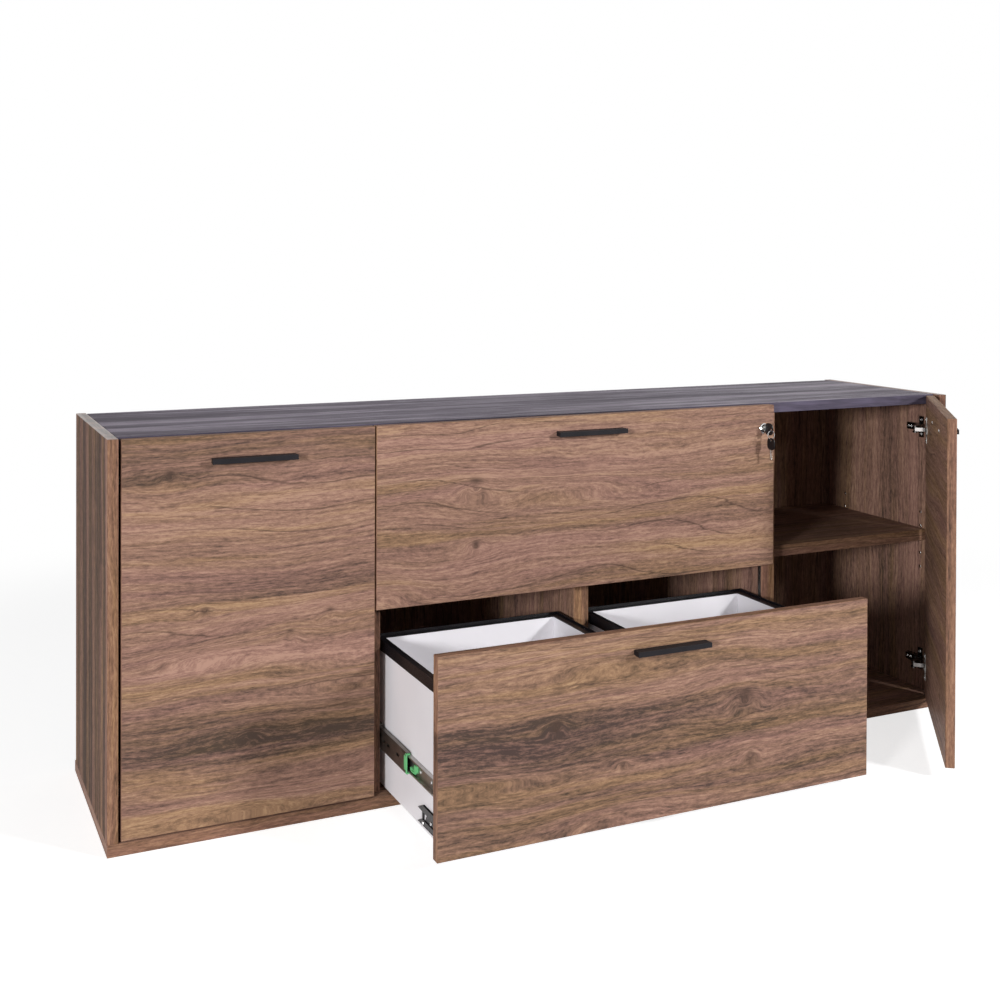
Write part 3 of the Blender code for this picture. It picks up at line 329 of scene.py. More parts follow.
class Graph:
    """Short calls that add and wire the nodes of one material."""

    def __init__(self, name):
        self.material = bpy.data.materials.new(name)
        self.material.use_nodes = True
        self.tree = self.material.node_tree
        self.shader = self.tree.nodes["Principled BSDF"]
        self.column = 0

    def node(self, kind, **settings):
        """A new node, laid out below and to the right of the last one."""
        made = self.tree.nodes.new(kind)
        for key, value in settings.items():
            setattr(made, key, value)
        made.location = (-1400 + 40 * self.column, -30 * self.column)
        self.column += 1
        return made

    def feed(self, socket, value):
        """Wires a value to a socket, or sets it there if it is a constant."""
        if isinstance(value, bpy.types.NodeSocket):
            self.tree.links.new(value, socket)
        else:
            socket.default_value = value

    def math(self, operation, a, b=0.0, c=0.0, clamp=False):
        """The result of one sum on numbers."""
        made = self.node("ShaderNodeMath", operation=operation, use_clamp=clamp)
        for socket, value in zip(made.inputs, (a, b, c)):
            self.feed(socket, value)
        return made.outputs[0]

    def swing(self, noise, gain, base, clamp=False):
        """The base with a noise added, which is taken about its middle and times the gain."""
        return self.math("MULTIPLY_ADD", self.math("SUBTRACT", noise, 0.5), gain, base, clamp)

    def vector(self, operation, a, b=(0.0, 0.0, 0.0)):
        """The result of one sum on vectors."""
        made = self.node("ShaderNodeVectorMath", operation=operation)
        self.feed(made.inputs[0], a)
        self.feed(made.inputs[1], b)
        return made.outputs["Value" if operation == "LENGTH" else "Vector"]

    def place(self):
        """A surface point in the object's own frame."""
        return self.node("ShaderNodeTexCoord").outputs["Object"]

    def facing(self):
        """The surface's direction in the object's own frame."""
        return self.node("ShaderNodeTexCoord").outputs["Normal"]

    def mapped(self, vector, turn=(0.0, 0.0, 0.0), shift=(0.0, 0.0, 0.0), scale=(1.0, 1.0, 1.0)):
        """A vector scaled, turned and shifted."""
        made = self.node("ShaderNodeMapping")
        self.feed(made.inputs["Vector"], vector)
        made.inputs["Location"].default_value = shift
        made.inputs["Rotation"].default_value = turn
        made.inputs["Scale"].default_value = scale
        return made.outputs["Vector"]

    def split(self, vector):
        """The three numbers of a vector."""
        made = self.node("ShaderNodeSeparateXYZ")
        self.feed(made.inputs[0], vector)
        return made.outputs[0], made.outputs[1], made.outputs[2]

    def joined(self, x, y, z):
        """A vector of three numbers."""
        made = self.node("ShaderNodeCombineXYZ")
        for socket, value in zip(made.inputs, (x, y, z)):
            self.feed(socket, value)
        return made.outputs[0]

    def noise(self, vector, scale, detail=2.0, roughness=0.5):
        """A cloudy noise between 0 and 1, with as many octaves as the detail says."""
        made = self.node("ShaderNodeTexNoise")
        self.feed(made.inputs["Vector"], vector)
        made.inputs["Scale"].default_value = scale
        made.inputs["Detail"].default_value = detail
        made.inputs["Roughness"].default_value = roughness
        return made.outputs["Fac"]

    def grain(self, vector, scale, detail=2.0, roughness=0.5, shift=(0.0, 0.0, 0.0)):
        """A noise with its own scale along each axis."""
        return self.noise(self.mapped(vector, shift=shift, scale=scale), 1.0, detail, roughness)

    def ramp(self, value, stops, interpolation="LINEAR"):
        """A ramp of (position, grey or colour) stops."""
        made = self.node("ShaderNodeValToRGB")
        band = made.color_ramp
        band.interpolation = interpolation
        band.elements.remove(band.elements[1])
        for number, (position, colour) in enumerate(stops):
            element = band.elements.new(position) if number else band.elements[0]
            element.position = position
            element.color = (*colour, 1.0) if isinstance(colour, tuple) else (colour, colour, colour, 1.0)
        self.feed(made.inputs["Fac"], value)
        return made.outputs["Color"]

    def between(self, value, low, high, out_low=0.0, out_high=1.0):
        """A smooth step from one value to another while the input goes from low to high."""
        made = self.node("ShaderNodeMapRange", clamp=True)
        made.interpolation_type = "SMOOTHSTEP"
        for socket, number in zip(made.inputs, (value, low, high, out_low, out_high)):
            self.feed(socket, number)
        return made.outputs[0]

    def mix(self, share, a, b, blend="MIX"):
        """A colour that goes from a to b as the share goes from 0 to 1."""
        made = self.node("ShaderNodeMix", data_type="RGBA", blend_type=blend)
        self.feed(made.inputs[0], share)
        self.feed(made.inputs[6], (*a, 1.0) if isinstance(a, tuple) else a)
        self.feed(made.inputs[7], (*b, 1.0) if isinstance(b, tuple) else b)
        return made.outputs[2]

    def times(self, colour, by):
        """A colour multiplied by another."""
        return self.mix(1.0, colour, by, "MULTIPLY")

    def bump(self, height, distance, strength):
        """Relief of the surface, with the distance in metres."""
        made = self.node("ShaderNodeBump")
        made.inputs["Strength"].default_value = strength
        made.inputs["Distance"].default_value = distance
        self.feed(made.inputs["Height"], height)
        self.feed(self.shader.inputs["Normal"], made.outputs["Normal"])

    def colour(self, value):
        self.feed(self.shader.inputs["Base Color"], value)

    def roughness(self, value):
        self.feed(self.shader.inputs["Roughness"], value)

    def set(self, **values):
        """Sets inputs of the shader by their names, with _ for each blank."""
        for key, value in values.items():
            self.shader.inputs[key.replace("_", " ")].default_value = value


def falloff(g, s, t, place_s, place_t, reach_s, reach_t):
    """1 at a place of the decor, and smoothly 0 a reach away."""
    off_s = g.math("DIVIDE", g.math("SUBTRACT", s, place_s), reach_s)
    off_t = g.math("DIVIDE", g.math("SUBTRACT", t, place_t), reach_t)
    square = g.math("MULTIPLY_ADD", off_s, off_s, g.math("MULTIPLY", off_t, off_t))
    return g.math("EXPONENT", g.math("MULTIPLY", square, -1.0))


def squared(g, turn, pivot):
    """Place and normal by axis, turned back to square for a panel that stands turned about the pivot."""
    place = g.place()
    facing = g.facing()
    if turn:
        centre = (*pivot, 0.0)
        back = (0.0, 0.0, -turn)
        place = g.vector("ADD", g.mapped(g.vector("SUBTRACT", place, centre), turn=back), centre)
        facing = g.mapped(facing, turn=back)
    return g.split(place), g.split(facing)


def past_knots(g, s, t, flow, knots):
    """The grain's lines bent round the knots, and a mask that is 1 in the knots' hearts."""
    hearts = 0.0
    for place_s, place_t, size in knots:
        off_t = g.math("SUBTRACT", t, place_t)
        around = falloff(g, s, t, place_s, place_t, size * 3.4, size * 1.5)
        flow = g.math("MULTIPLY_ADD", g.math("MULTIPLY", off_t, around), KNOT_PULL, flow)
        close = falloff(g, s, t, place_s, place_t, size * 0.95, size * 0.62)
        oval = g.joined(g.math("SUBTRACT", s, place_s), g.math("MULTIPLY", off_t, 1.5), 0.0)
        flow = g.math("MULTIPLY_ADD", g.math("MULTIPLY", close, g.vector("LENGTH", oval)), KNOT_RINGS, flow)
        heart = falloff(g, s, flow, place_s, place_t, size * 0.55, size * 0.34)
        hearts = g.math("MAXIMUM", hearts, heart)
    return flow, hearts


def past_arches(g, s, t, flow, arches):
    """The grain's lines drawn into parabolas at the arches."""
    for place_s, place_t, length, half, strength in arches:
        ahead = g.math("DIVIDE", g.math("SUBTRACT", place_s, s), length)
        across = g.math("DIVIDE", g.math("SUBTRACT", t, place_t), half)
        bow = g.math("SUBTRACT", ahead, g.math("MULTIPLY", across, across))
        window = falloff(g, s, t, place_s - 0.4 * length, place_t, length * 0.9, half * 1.3)
        flow = g.math("MULTIPLY_ADD", g.math("MULTIPLY", bow, window), ARCH_PULL * strength, flow)
    return flow


def board_tone(g, s, t, flow, ripple, broad, planks, patches):
    """Tone before the fine grain: a broad cloud, a step at each plank's edge, and the patches."""
    tone = g.swing(broad, BROAD_GAIN, MIDDLE_TONE)
    if planks:
        span = planks[-1][0] + 2 * PLANK_START
        share = g.math("DIVIDE", g.math("ADD", g.swing(ripple, RIPPLE, t), PLANK_START), span)
        steps = [((at + PLANK_START) / span, value) for at, value in planks]
        rest = g.math("SUBTRACT", tone, MIDDLE_TONE * PLANK_GAIN)
        tone = g.math("MULTIPLY_ADD", g.ramp(share, steps, "CONSTANT"), PLANK_GAIN, rest)
    for place_s, place_t, reach_s, reach_t, lift, lowest, highest in patches:
        blot = falloff(g, s, flow, place_s, place_t, reach_s, reach_t)
        above = g.between(t, lowest - PATCH_EDGE, lowest + PATCH_EDGE)
        below = g.between(t, highest + PATCH_EDGE, highest - PATCH_EDGE)
        blot = g.math("MULTIPLY", blot, g.math("MULTIPLY", above, below))
        tone = g.math("MULTIPLY_ADD", blot, lift * PATCH_GAIN, tone)
    return tone


def dark_veins(g, lines, flow, streak, end):
    """A mask of thin lines that follow the grain, broken off here and there, and none on end faces."""
    count = g.swing(streak, 0.35, g.math("MULTIPLY", flow, VEINS_A_METRE))
    saw = g.math("ABSOLUTE", g.math("SUBTRACT", g.math("FRACT", count), 0.5))
    vein = g.math("MULTIPLY", g.between(saw, VEIN_WIDTH, 0.0), g.math("SUBTRACT", 1.0, end))
    return g.math("MULTIPLY", vein, g.between(g.grain(lines, **VEIN_NOISE), 0.46, 0.60))


def walnut(name, s_axis, t_axis, t_sign=1.0, origin=(0.0, 0.0), seed=0.0, turn=0.0, pivot=(0.0, 0.0),
           planks=(), patches=(), knots=(), arches=(), painted_shade_scale=1.0, gloss=0.10, rough=0.54, cap=0.0):
    """Walnut decor: s runs along the grain and t across it, both in metres from the origin.

    planks, patches, knots and arches are as in the tables above. A plank changes the tone at once.
    turn and pivot bring a panel that stands turned about an upright axis back to square.
    cap: how much glossier the faces across the grain are.
    A brightness factor below 1 darkens the board's whole colour as painted shade.
    """
    g = Graph(name)
    axes, normal = squared(g, turn, pivot)
    s = g.math("SUBTRACT", axes[s_axis], origin[0])
    t = g.math("MULTIPLY_ADD", axes[t_axis], t_sign, -t_sign * origin[1])
    depth = axes[3 - s_axis - t_axis]
    end = g.math("GREATER_THAN", g.math("ABSOLUTE", normal[s_axis]), FACE_LIMIT)
    edge = g.math("GREATER_THAN", g.math("ABSOLUTE", normal[t_axis]), FACE_LIMIT)
    t = g.math("MULTIPLY_ADD", edge, depth, t)

    deep = g.math("ADD", depth, seed)
    place = g.joined(s, t, deep)
    ripple = g.grain(place, **RIPPLE_NOISE)
    flow = g.swing(ripple, RIPPLE, g.swing(g.grain(place, **SWAY_NOISE), SWAY, t))
    vein_flow = g.swing(g.grain(place, **DRIFT_NOISE), DRIFT, flow)
    flow, hearts = past_knots(g, s, t, flow, knots)
    flow = past_arches(g, s, t, flow, arches)

    choose = g.node("ShaderNodeMix", data_type="VECTOR")
    g.feed(choose.inputs[0], end)
    g.feed(choose.inputs[4], g.joined(s, flow, deep))
    g.feed(choose.inputs[5], g.joined(t, depth, g.math("ADD", s, seed)))
    lines = choose.outputs[1]
    broad = g.grain(lines, **BROAD_NOISE)
    streak = g.grain(lines, **STREAK_NOISE)
    fleck = g.grain(lines, **FLECK_NOISE)
    dash = g.grain(lines, **DASH_NOISE)
    pores = g.grain(lines, **PORE_NOISE)

    tone = board_tone(g, s, t, flow, ripple, broad, planks, patches)
    tone = g.swing(streak, STREAK_GAIN, tone)
    tone = g.swing(fleck, FLECK_GAIN, tone)
    tone = g.swing(dash, DASH_GAIN, tone, clamp=True)
    vein = dark_veins(g, lines, vein_flow, streak, end)

    colour = g.ramp(tone, WALNUT_STEPS)
    colour = g.times(colour, g.ramp(g.grain(lines, **WARMTH_NOISE), WALNUT_HUES))
    colour = g.mix(g.math("MULTIPLY", vein, 0.70), colour, WALNUT_VEIN)
    colour = g.mix(g.math("MULTIPLY", g.between(pores, 0.60, 0.74), 0.30), colour, WALNUT_VEIN)
    if knots:
        colour = g.mix(g.math("MULTIPLY", hearts, 0.80), colour, WALNUT_VEIN)
    colour = g.mix(g.math("MAXIMUM", end, edge), colour, g.times(colour, EDGE_BAND))
    # A factor below 1 darkens the whole colour here as painted shade.
    if painted_shade_scale != 1.0:
        colour = g.times(colour, (painted_shade_scale, painted_shade_scale, painted_shade_scale))
    g.colour(colour)
    dull = g.between(streak, 0.3, 0.7, rough + 0.06, rough - 0.06)
    g.roughness(g.math("MULTIPLY_ADD", end, -0.36 * cap, dull) if cap else dull)
    g.feed(g.shader.inputs["Specular IOR Level"], g.math("MULTIPLY_ADD", end, cap, gloss) if cap else gloss)
    relief = g.math("ADD", g.math("MULTIPLY", fleck, 0.6), g.math("MULTIPLY", pores, 0.4))
    g.bump(relief, 0.00025, 0.5)
    return g.material


def charcoal(name):
    """The top's dark decor, with a faint long grain and a sheen that grows towards the right. The top face's
    colour also carries a painted sheen, which the front and back faces lack.
    """
    g = Graph(name)
    base = g.place()
    wave = g.grain(base, **TOP_WAVE_NOISE)
    x, y, z = g.split(base)
    lines = g.joined(x, g.swing(wave, TOP_SWAY, y), z)
    broad = g.grain(lines, **TOP_BROAD_NOISE)
    streak = g.grain(lines, **TOP_STREAK_NOISE)
    fibre = g.grain(lines, **TOP_FIBRE_NOISE)
    tone = g.math("ADD", g.math("MULTIPLY", broad, 0.5), g.math("MULTIPLY", streak, 0.5))
    # Front and back faces are dimmed here, as the top face's colour carries a painted sheen.
    front = g.math("GREATER_THAN", g.math("ABSOLUTE", g.split(g.facing())[Y]), FACE_LIMIT)
    colour = g.ramp(tone, TOP_STEPS)
    g.colour(g.mix(front, colour, g.times(colour, TOP_FRONT)))
    polish = g.math("MULTIPLY_ADD", fibre, 0.4, g.math("MULTIPLY", tone, 0.6))
    polish = g.math("MULTIPLY_ADD", x, 0.030, polish)
    g.roughness(g.between(polish, 0.40, 0.60, 0.80, 0.42))
    g.set(Specular_IOR_Level=0.58, Specular_Tint=TOP_TINT)
    g.bump(g.math("ADD", g.math("MULTIPLY", fibre, 0.6), g.math("MULTIPLY", streak, 0.7)), 0.0005, 0.8)
    return g.material


def melamine(name):
    """White board with a fine pebbled surface."""
    g = Graph(name)
    pebble = g.noise(g.place(), 900.0)
    cloud = g.noise(g.place(), 9.0, 3.0)
    g.colour(g.ramp(cloud, ((0.3, (0.88, 0.865, 0.905)), (0.7, (0.925, 0.91, 0.95)))))
    g.roughness(g.between(pebble, 0.3, 0.7, 0.38, 0.50))
    g.bump(pebble, 0.00008, 0.4)
    return g.material


def coated(name, dark, light, low, high, gloss=0.5):
    """Powder coat or moulded plastic: a fine orange peel and a faint cloud in its colour."""
    g = Graph(name)
    peel = g.noise(g.place(), 1500.0, 1.0)
    cloud = g.noise(g.place(), 30.0)
    g.colour(g.ramp(cloud, ((0.3, dark), (0.7, light))))
    g.roughness(g.between(peel, 0.3, 0.7, low, high))
    g.set(Specular_IOR_Level=gloss)
    g.bump(peel, 0.00006, 0.6)
    return g.material


def metal(name, tint, low, high):
    """Plated steel: a cloud in the plating and fine drawing marks along its length."""
    g = Graph(name)
    brushed = g.grain(g.place(), BRUSH)
    cloud = g.noise(g.place(), 45.0, 3.0)
    dark = tuple(c * 0.72 for c in tint)
    g.colour(g.ramp(cloud, ((0.3, dark), (0.7, tint))))
    g.roughness(g.between(brushed, 0.3, 0.7, low, high))
    g.set(Metallic=1.0)
    g.bump(brushed, 0.00004, 0.4)
    return g.material


def white_to_camera(tree, target, low, high):
    """Feeds a strength that is high for camera, glossy and transmission rays, and low for the others."""
    seen = tree.nodes.new("ShaderNodeLightPath")
    share = seen.outputs["Is Camera Ray"]
    for ray in ("Is Glossy Ray", "Is Transmission Ray"):
        either = tree.nodes.new("ShaderNodeMath")
        either.operation = "MAXIMUM"
        tree.links.new(share, either.inputs[0])
        tree.links.new(seen.outputs[ray], either.inputs[1])
        share = either.outputs[0]
    strength = tree.nodes.new("ShaderNodeMapRange")
    strength.inputs["To Min"].default_value = low
    strength.inputs["To Max"].default_value = high
    tree.links.new(share, strength.inputs["Value"])
    tree.links.new(strength.outputs[0], target)


def pale_world():
    """An even white room, dimmer as a light than it looks."""
    scene = bpy.context.scene
    scene.view_settings.view_transform = "Standard"
    world = bpy.data.worlds.new("pale_room")
    scene.world = world
    world.use_nodes = True
    back = world.node_tree.nodes["Background"]
    back.inputs["Color"].default_value = (1.0, 1.0, 1.0, 1.0)
    white_to_camera(world.node_tree, back.inputs["Strength"], WORLD_LIGHT, 1.0)


def pale_floor():
    """A white floor that takes shadows near the cabinet and melts into the room away from it."""
    mesh = bpy.data.meshes.new("floor")
    reach = FLOOR_REACH
    corners = [(-reach, -reach, 0), (reach, -reach, 0), (reach, reach, 0), (-reach, reach, 0)]
    mesh.from_pydata(corners, [], [(0, 1, 2, 3)])
    ground = bpy.data.objects.new("floor", mesh)
    ground.location.z = -FLOOR_DROP
    bpy.context.scene.collection.objects.link(ground)
    g = Graph("pale_floor")
    speck = g.noise(g.place(), 30.0)
    g.colour(g.ramp(speck, ((0.3, (0.79, 0.79, 0.79)), (0.7, (0.81, 0.81, 0.81)))))
    g.set(Roughness=0.9, Specular_IOR_Level=0.1)
    near_glow = g.node("ShaderNodeEmission")
    white_to_camera(g.tree, near_glow.inputs["Strength"], 0.0, FLOOR_GLOW)
    near = g.node("ShaderNodeAddShader")
    g.feed(near.inputs[0], g.shader.outputs[0])
    g.feed(near.inputs[1], near_glow.outputs[0])
    far = g.node("ShaderNodeEmission")
    white_to_camera(g.tree, far.inputs["Strength"], WORLD_LIGHT, 1.0)
    choose = g.node("ShaderNodeMixShader")
    g.feed(choose.inputs[0], g.between(g.vector("LENGTH", g.place()), GLOW_FROM, GLOW_FULL))
    g.feed(choose.inputs[1], near.outputs[0])
    g.feed(choose.inputs[2], far.outputs[0])
    g.feed(g.tree.nodes["Material Output"].inputs["Surface"], choose.outputs[0])
    mesh.materials.append(g.material)


def lamps():
    """Disk lamps that point at the cabinet's middle."""
    for name, place, size, power in LAMPS:
        data = bpy.data.lights.new(name, "AREA")
        data.shape = "DISK"
        data.size = size
        data.energy = power
        lamp = bpy.data.objects.new(name, data)
        lamp.location = place
        lamp.rotation_euler = (LAMP_AIM - Vector(place)).to_track_quat("-Z", "Y").to_euler()
        bpy.context.scene.collection.objects.link(lamp)


def piece_from(name, fill, material, body, bevel=0.0, smooth=False):
    """A piece from a function that fills a bmesh in world places. It rides on a body."""
    work = bmesh.new()
    fill(work)
    bmesh.ops.recalc_face_normals(work, faces=work.faces)
    for face in work.faces:
        face.smooth = smooth
    mesh = bpy.data.meshes.new(name)
    work.to_mesh(mesh)
    work.free()
    mesh.materials.append(material)
    piece = bpy.data.objects.new(name, mesh)
    bpy.context.scene.collection.objects.link(piece)
    if bevel:
        step = piece.modifiers.new("soft_edges", "BEVEL")
        step.width = bevel
        step.segments = 2
        step.limit_method = "ANGLE"
        step.angle_limit = math.radians(35.0)
    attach(piece, body)
    return piece


def slab(work, low, high):
    """An axis-aligned block between two corners."""
    middle = [(a + b) / 2 for a, b in zip(low, high)]
    size = [abs(b - a) for a, b in zip(low, high)]
    matrix = Matrix.Translation(middle) @ Matrix.Diagonal((*size, 1.0))
    bmesh.ops.create_cube(work, size=1.0, matrix=matrix)


def blocks(work, table, x, hand, y, z):
    """The blocks of a table, each from and to in X towards hand, in Y and in Z, seen from a place."""
    for x_from, x_to, y_from, y_to, z_from, z_to in table:
        slab(work, (x + hand * x_from, y + y_from, z + z_from), (x + hand * x_to, y + y_to, z + z_to))


def loop_at(work, matrix, points, height):
    """Vertices at flat points, at a height over the matrix's XY plane."""
    return [work.verts.new(matrix @ Vector((x, y, height))) for x, y in points]


def skin(work, *loops):
    """Quads from each loop of vertices to the next one."""
    for one, two in zip(loops, loops[1:]):
        for k in range(len(one)):
            n = (k + 1) % len(one)
            work.faces.new((one[k], one[n], two[n], two[k]))


def prism(work, outline, matrix, thickness):
    """A flat outline in XY of the matrix, given thickness evenly about its plane."""
    low = loop_at(work, matrix, outline, -thickness / 2)
    high = loop_at(work, matrix, outline, thickness / 2)
    work.faces.new(low[::-1])
    work.faces.new(high)
    skin(work, low, high)


def circle(steps):
    """Cosine and sine of evenly spaced angles."""
    angles = [2 * math.pi * k / steps for k in range(steps)]
    return [(math.cos(angle), math.sin(angle)) for angle in angles]


def lathe(work, profile, matrix, closed=False):
    """A profile of (radius, height) turned about the matrix's Z axis."""
    rings = []
    for radius, height in profile:
        points = [(radius * c, radius * s) for c, s in circle(LATHE_STEPS)]
        rings.append(loop_at(work, matrix, points, height))
    skin(work, *rings)
    if closed:
        skin(work, rings[-1], rings[0])
    else:
        work.faces.new(rings[0][::-1])
        work.faces.new(rings[-1])


def looking(at, way, spin=0.0):
    """A place with its Z axis along a direction."""
    turn = Vector(way).to_track_quat("Z", "Y").to_matrix().to_4x4()
    return Matrix.Translation(at) @ turn @ Matrix.Rotation(spin, 4, "Z")


def pan_head(work, matrix, radius):
    """A pan head screw with a cross recess: the head's face has a real cross sunk into it."""
    wide = 0.16 * radius
    long = 0.62 * radius
    height = 0.42 * radius
    sunk = 0.16 * radius
    cross = [
        (wide, wide), (wide, long), (-wide, long), (-wide, wide), (-long, wide), (-long, -wide),
        (-wide, -wide), (-wide, -long), (wide, -long), (wide, -wide), (long, -wide), (long, wide),
    ]
    crown = []
    for x, y in cross:
        reach = 0.80 * radius / math.hypot(x, y)
        crown.append((x * reach, y * reach))
    rim = [(x * 1.25, y * 1.25) for x, y in crown]
    top = loop_at(work, matrix, cross, height)
    floor = loop_at(work, matrix, cross, sunk)
    shoulder = loop_at(work, matrix, crown, height * 0.92)
    edge = loop_at(work, matrix, rim, height * 0.35)
    foot = loop_at(work, matrix, rim, 0.0)
    work.faces.new(floor)
    work.faces.new(foot[::-1])
    skin(work, floor, top, shoulder, edge, foot)


def screws(name, places, material, body):
    """Several screws as one piece: (place, direction of the head, radius)."""
    def fill(work):
        for number, (at, way, radius) in enumerate(places):
            pan_head(work, looking(at, way, 0.4 + 0.7 * number), radius)

    return piece_from(name, fill, material, body)


def on_door(side, x, y, z):
    """A place of a door, given as it is with the door shut, where it is at rest."""
    if side == "left":
        return Vector((x, y, z))
    off = Vector((x - DOOR_PIVOT[0], y - DOOR_PIVOT[1], 0.0))
    off.rotate(Euler((0.0, 0.0, math.radians(DOOR_ANGLE))))
    return Vector((DOOR_PIVOT[0], DOOR_PIVOT[1], z)) + off


def behind_door(side):
    """The direction from a door's front to its back, at rest."""
    return on_door(side, DOOR_PIVOT[0], DOOR_PIVOT[1] + 1.0, 0.0) - on_door(side, *DOOR_PIVOT, 0.0)


def steel_channel(work, face_x, hand, y_low, y_high, z):
    """A C section along Y: web on the face at face_x, open towards hand, with turned-in lips."""
    sheet = face_x + hand * CHANNEL_SHEET
    tip = face_x + hand * CHANNEL_DEPTH
    slab(work, (face_x, y_low, z - CHANNEL_HALF), (sheet, y_high, z + CHANNEL_HALF))
    for up in (-1, 1):
        edge = z + up * CHANNEL_HALF
        under = edge - up * CHANNEL_SHEET
        slab(work, (sheet, y_low, under), (tip, y_high, edge))
        slab(work, (tip - hand * CHANNEL_SHEET, y_low, edge - up * CHANNEL_LIP), (tip, y_high, under))


def drawer_box(level, side):
    """The box's five boards, with the joints between them, in place of the CAD box."""
    body = f"{level}_drawer"
    rail_low, rail_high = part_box(f"file_rail_{level}_{side}")
    box_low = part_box(f"box_{level}_{side}")[0]
    x0 = rail_low.x + RAIL_OUT
    x1 = rail_high.x - RAIL_OUT
    y0 = box_low.y
    y1 = rail_high.y - RAIL_OUT
    z0 = box_low.z
    z1 = rail_low.z + RAIL_HANG
    inner_x0 = x0 + WALL + SEAM
    inner_x1 = x1 - WALL - SEAM

    def fill(work):
        slab(work, (x0, y0, z0), (x0 + WALL, y1, z1))
        slab(work, (x1 - WALL, y0, z0), (x1, y1, z1))
        slab(work, (inner_x0, y0, z0), (inner_x1, y0 + WALL, z1))
        slab(work, (inner_x0, y1 - WALL, z0), (inner_x1, y1, z1))
        floor_low = (inner_x0, y0 + WALL + SEAM, z0 + SEAM)
        slab(work, floor_low, (inner_x1, y1 - WALL - SEAM, z0 + BOX_FLOOR))

    piece = piece_from(f"drawer_box_{level}_{side}", fill, WHITE, body, bevel=SOFT_EDGE)
    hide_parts(f"box_{level}_{side}")
    return x0, x1, y0, z0


def slide_fittings(level, number, box_face, hand, y0):
    """The drawer member on the box, its screws, the middle member's clip and the lever beside the box.

    hand is +1 where the box lies to the slide's +X.
    """
    body = f"{level}_drawer"
    outer_low, outer_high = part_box(f"slide_outer_{level}_{number}")
    mid_low, mid_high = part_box(f"slide_mid_{level}_{number}")
    z = (mid_low.z + mid_high.z) / 2
    travel = y0 - CLOSED_BOX_FRONT
    member_low = outer_low.y + travel
    member_high = outer_high.y + travel - CHANNEL_SHORTER
    sheet_face = box_face - hand * CHANNEL_SHEET

    def member(work):
        steel_channel(work, box_face, -hand, member_low, member_high, z)
        stop = member_low - STOP_LENGTH
        slab(work, (box_face, stop, z - STOP_HALF), (sheet_face, member_low, z + STOP_HALF))

    piece = piece_from(f"slide_inner_{level}_{number}", member, STEEL, body, bevel=SOFT_EDGE)
    places = [
        ((sheet_face, member_low + off, z), (-hand, 0.0, 0.0), SLIDE_SCREW_RADIUS) for off in SLIDE_SCREWS
    ]
    screws(f"slide_screws_{level}_{number}", places, BRIGHT, body)

    web = mid_low.x if hand > 0 else mid_high.x
    clip = piece_from(
        f"slide_catch_{level}_{number}", lambda work: blocks(work, CLIP_BLOCKS, web, hand, mid_low.y, z),
        GREEN, f"{level}_slide_members", bevel=SOFT_EDGE,
    )
    made = piece_from(
        f"slide_lever_{level}_{number}", lambda work: blocks(work, LEVER_BLOCKS, box_face, -hand, y0, z),
        GREEN, body, bevel=LEVER_EDGE,
    )


def fixing_bracket(level, side, face, hand, y0, z0):
    """The bracket low on the box's side: two arms on a web with a window in it, and its screws."""
    body = f"{level}_drawer"
    tag = f"{level}_{side}_{'near' if hand < 0 else 'far'}"
    low = z0 + BRACKET_LIFT
    length = BRACKET_LENGTH
    web = length - BRACKET_TAPER
    tip = web - 0.005
    high = BRACKET_HEIGHT
    arm = high - 0.0125
    over = arm + 0.001
    upper_arm = [(0.0, arm), (web, arm), (length, high - 0.0113), (tip, high), (0.0, high)]
    lower_arm = [(0.0, 0.0), (length, 0.0), (web, 0.0100), (0.0, 0.0115)]
    post = [(web - 0.0055, 0.009), (web, 0.009), (web, over), (web - 0.0075, over)]
    plate = [(0.0, 0.010), (web - 0.012, 0.010), (web - 0.0215, over), (0.0, over)]
    upper_bead = [(0.0, high - 0.0022), (web - 0.0045, high - 0.0022), (tip, high), (0.0, high)]
    lower_bead = [(0.0, 0.0), (length, 0.0), (length - 0.004, 0.0018), (0.0, 0.0018)]
    layers = (
        (upper_arm, 0.0038), (lower_arm, 0.0038), (post, 0.0032), (plate, 0.0018),
        (upper_bead, 0.0042), (lower_bead, 0.0042),
    )

    def fill(work):
        for outline, thick in layers:
            middle = Matrix.Translation((face + hand * thick / 2, y0, low))
            prism(work, outline, middle @ FACING_X, thick)

    piece = piece_from(f"fixing_bracket_{tag}", fill, PLASTIC, body, bevel=SOFT_EDGE)
    places = [
        ((face + hand * out, y0 + behind, low + up), (hand, 0.0, 0.0), radius)
        for out, behind, up, radius in BRACKET_SCREWS
    ]
    screws(f"bracket_screws_{tag}", places, BRIGHT, body)


def boxes_and_slides():
    """The four boxes, and what is fixed to both sides of each."""
    for level in ("upper", "lower"):
        for side, numbers in (("left", (1, 2)), ("right", (3, 4))):
            x0, x1, y0, z0 = drawer_box(level, side)
            slide_fittings(level, numbers[0], x0, 1, y0)
            slide_fittings(level, numbers[1], x1, -1, y0)
            fixing_bracket(level, side, x0, -1, y0, z0)
            fixing_bracket(level, side, x1, 1, y0, z0)


def hinge_screws():
    """Screws in the plates, the arms and the cups' wings of the four hinges."""
    wing_y = FRONT + FRONT_BOARD + CUP_WING - SCREW_SUNK
    for side, mirror in SIDES:
        for number, z in enumerate(HINGE_HEIGHTS, 1):
            plate = [
                ((mirror * (SIDE_INNER - inward), FRONT + behind, z + up), (-mirror, 0.0, 0.0), radius)
                for inward, behind, up, radius in PLATE_SCREWS
            ]
            screws(f"plate_screws_{side}_{number}", plate, BRIGHT, "carcass")
            wing = [
                (on_door(side, mirror * CUP_X, wing_y, z + up), behind_door(side), CUP_SCREW_RADIUS)
                for up in (-CUP_SCREW_OFF, CUP_SCREW_OFF)
            ]
            screws(f"cup_screws_{side}_{number}", wing, BRIGHT, f"{side}_door")


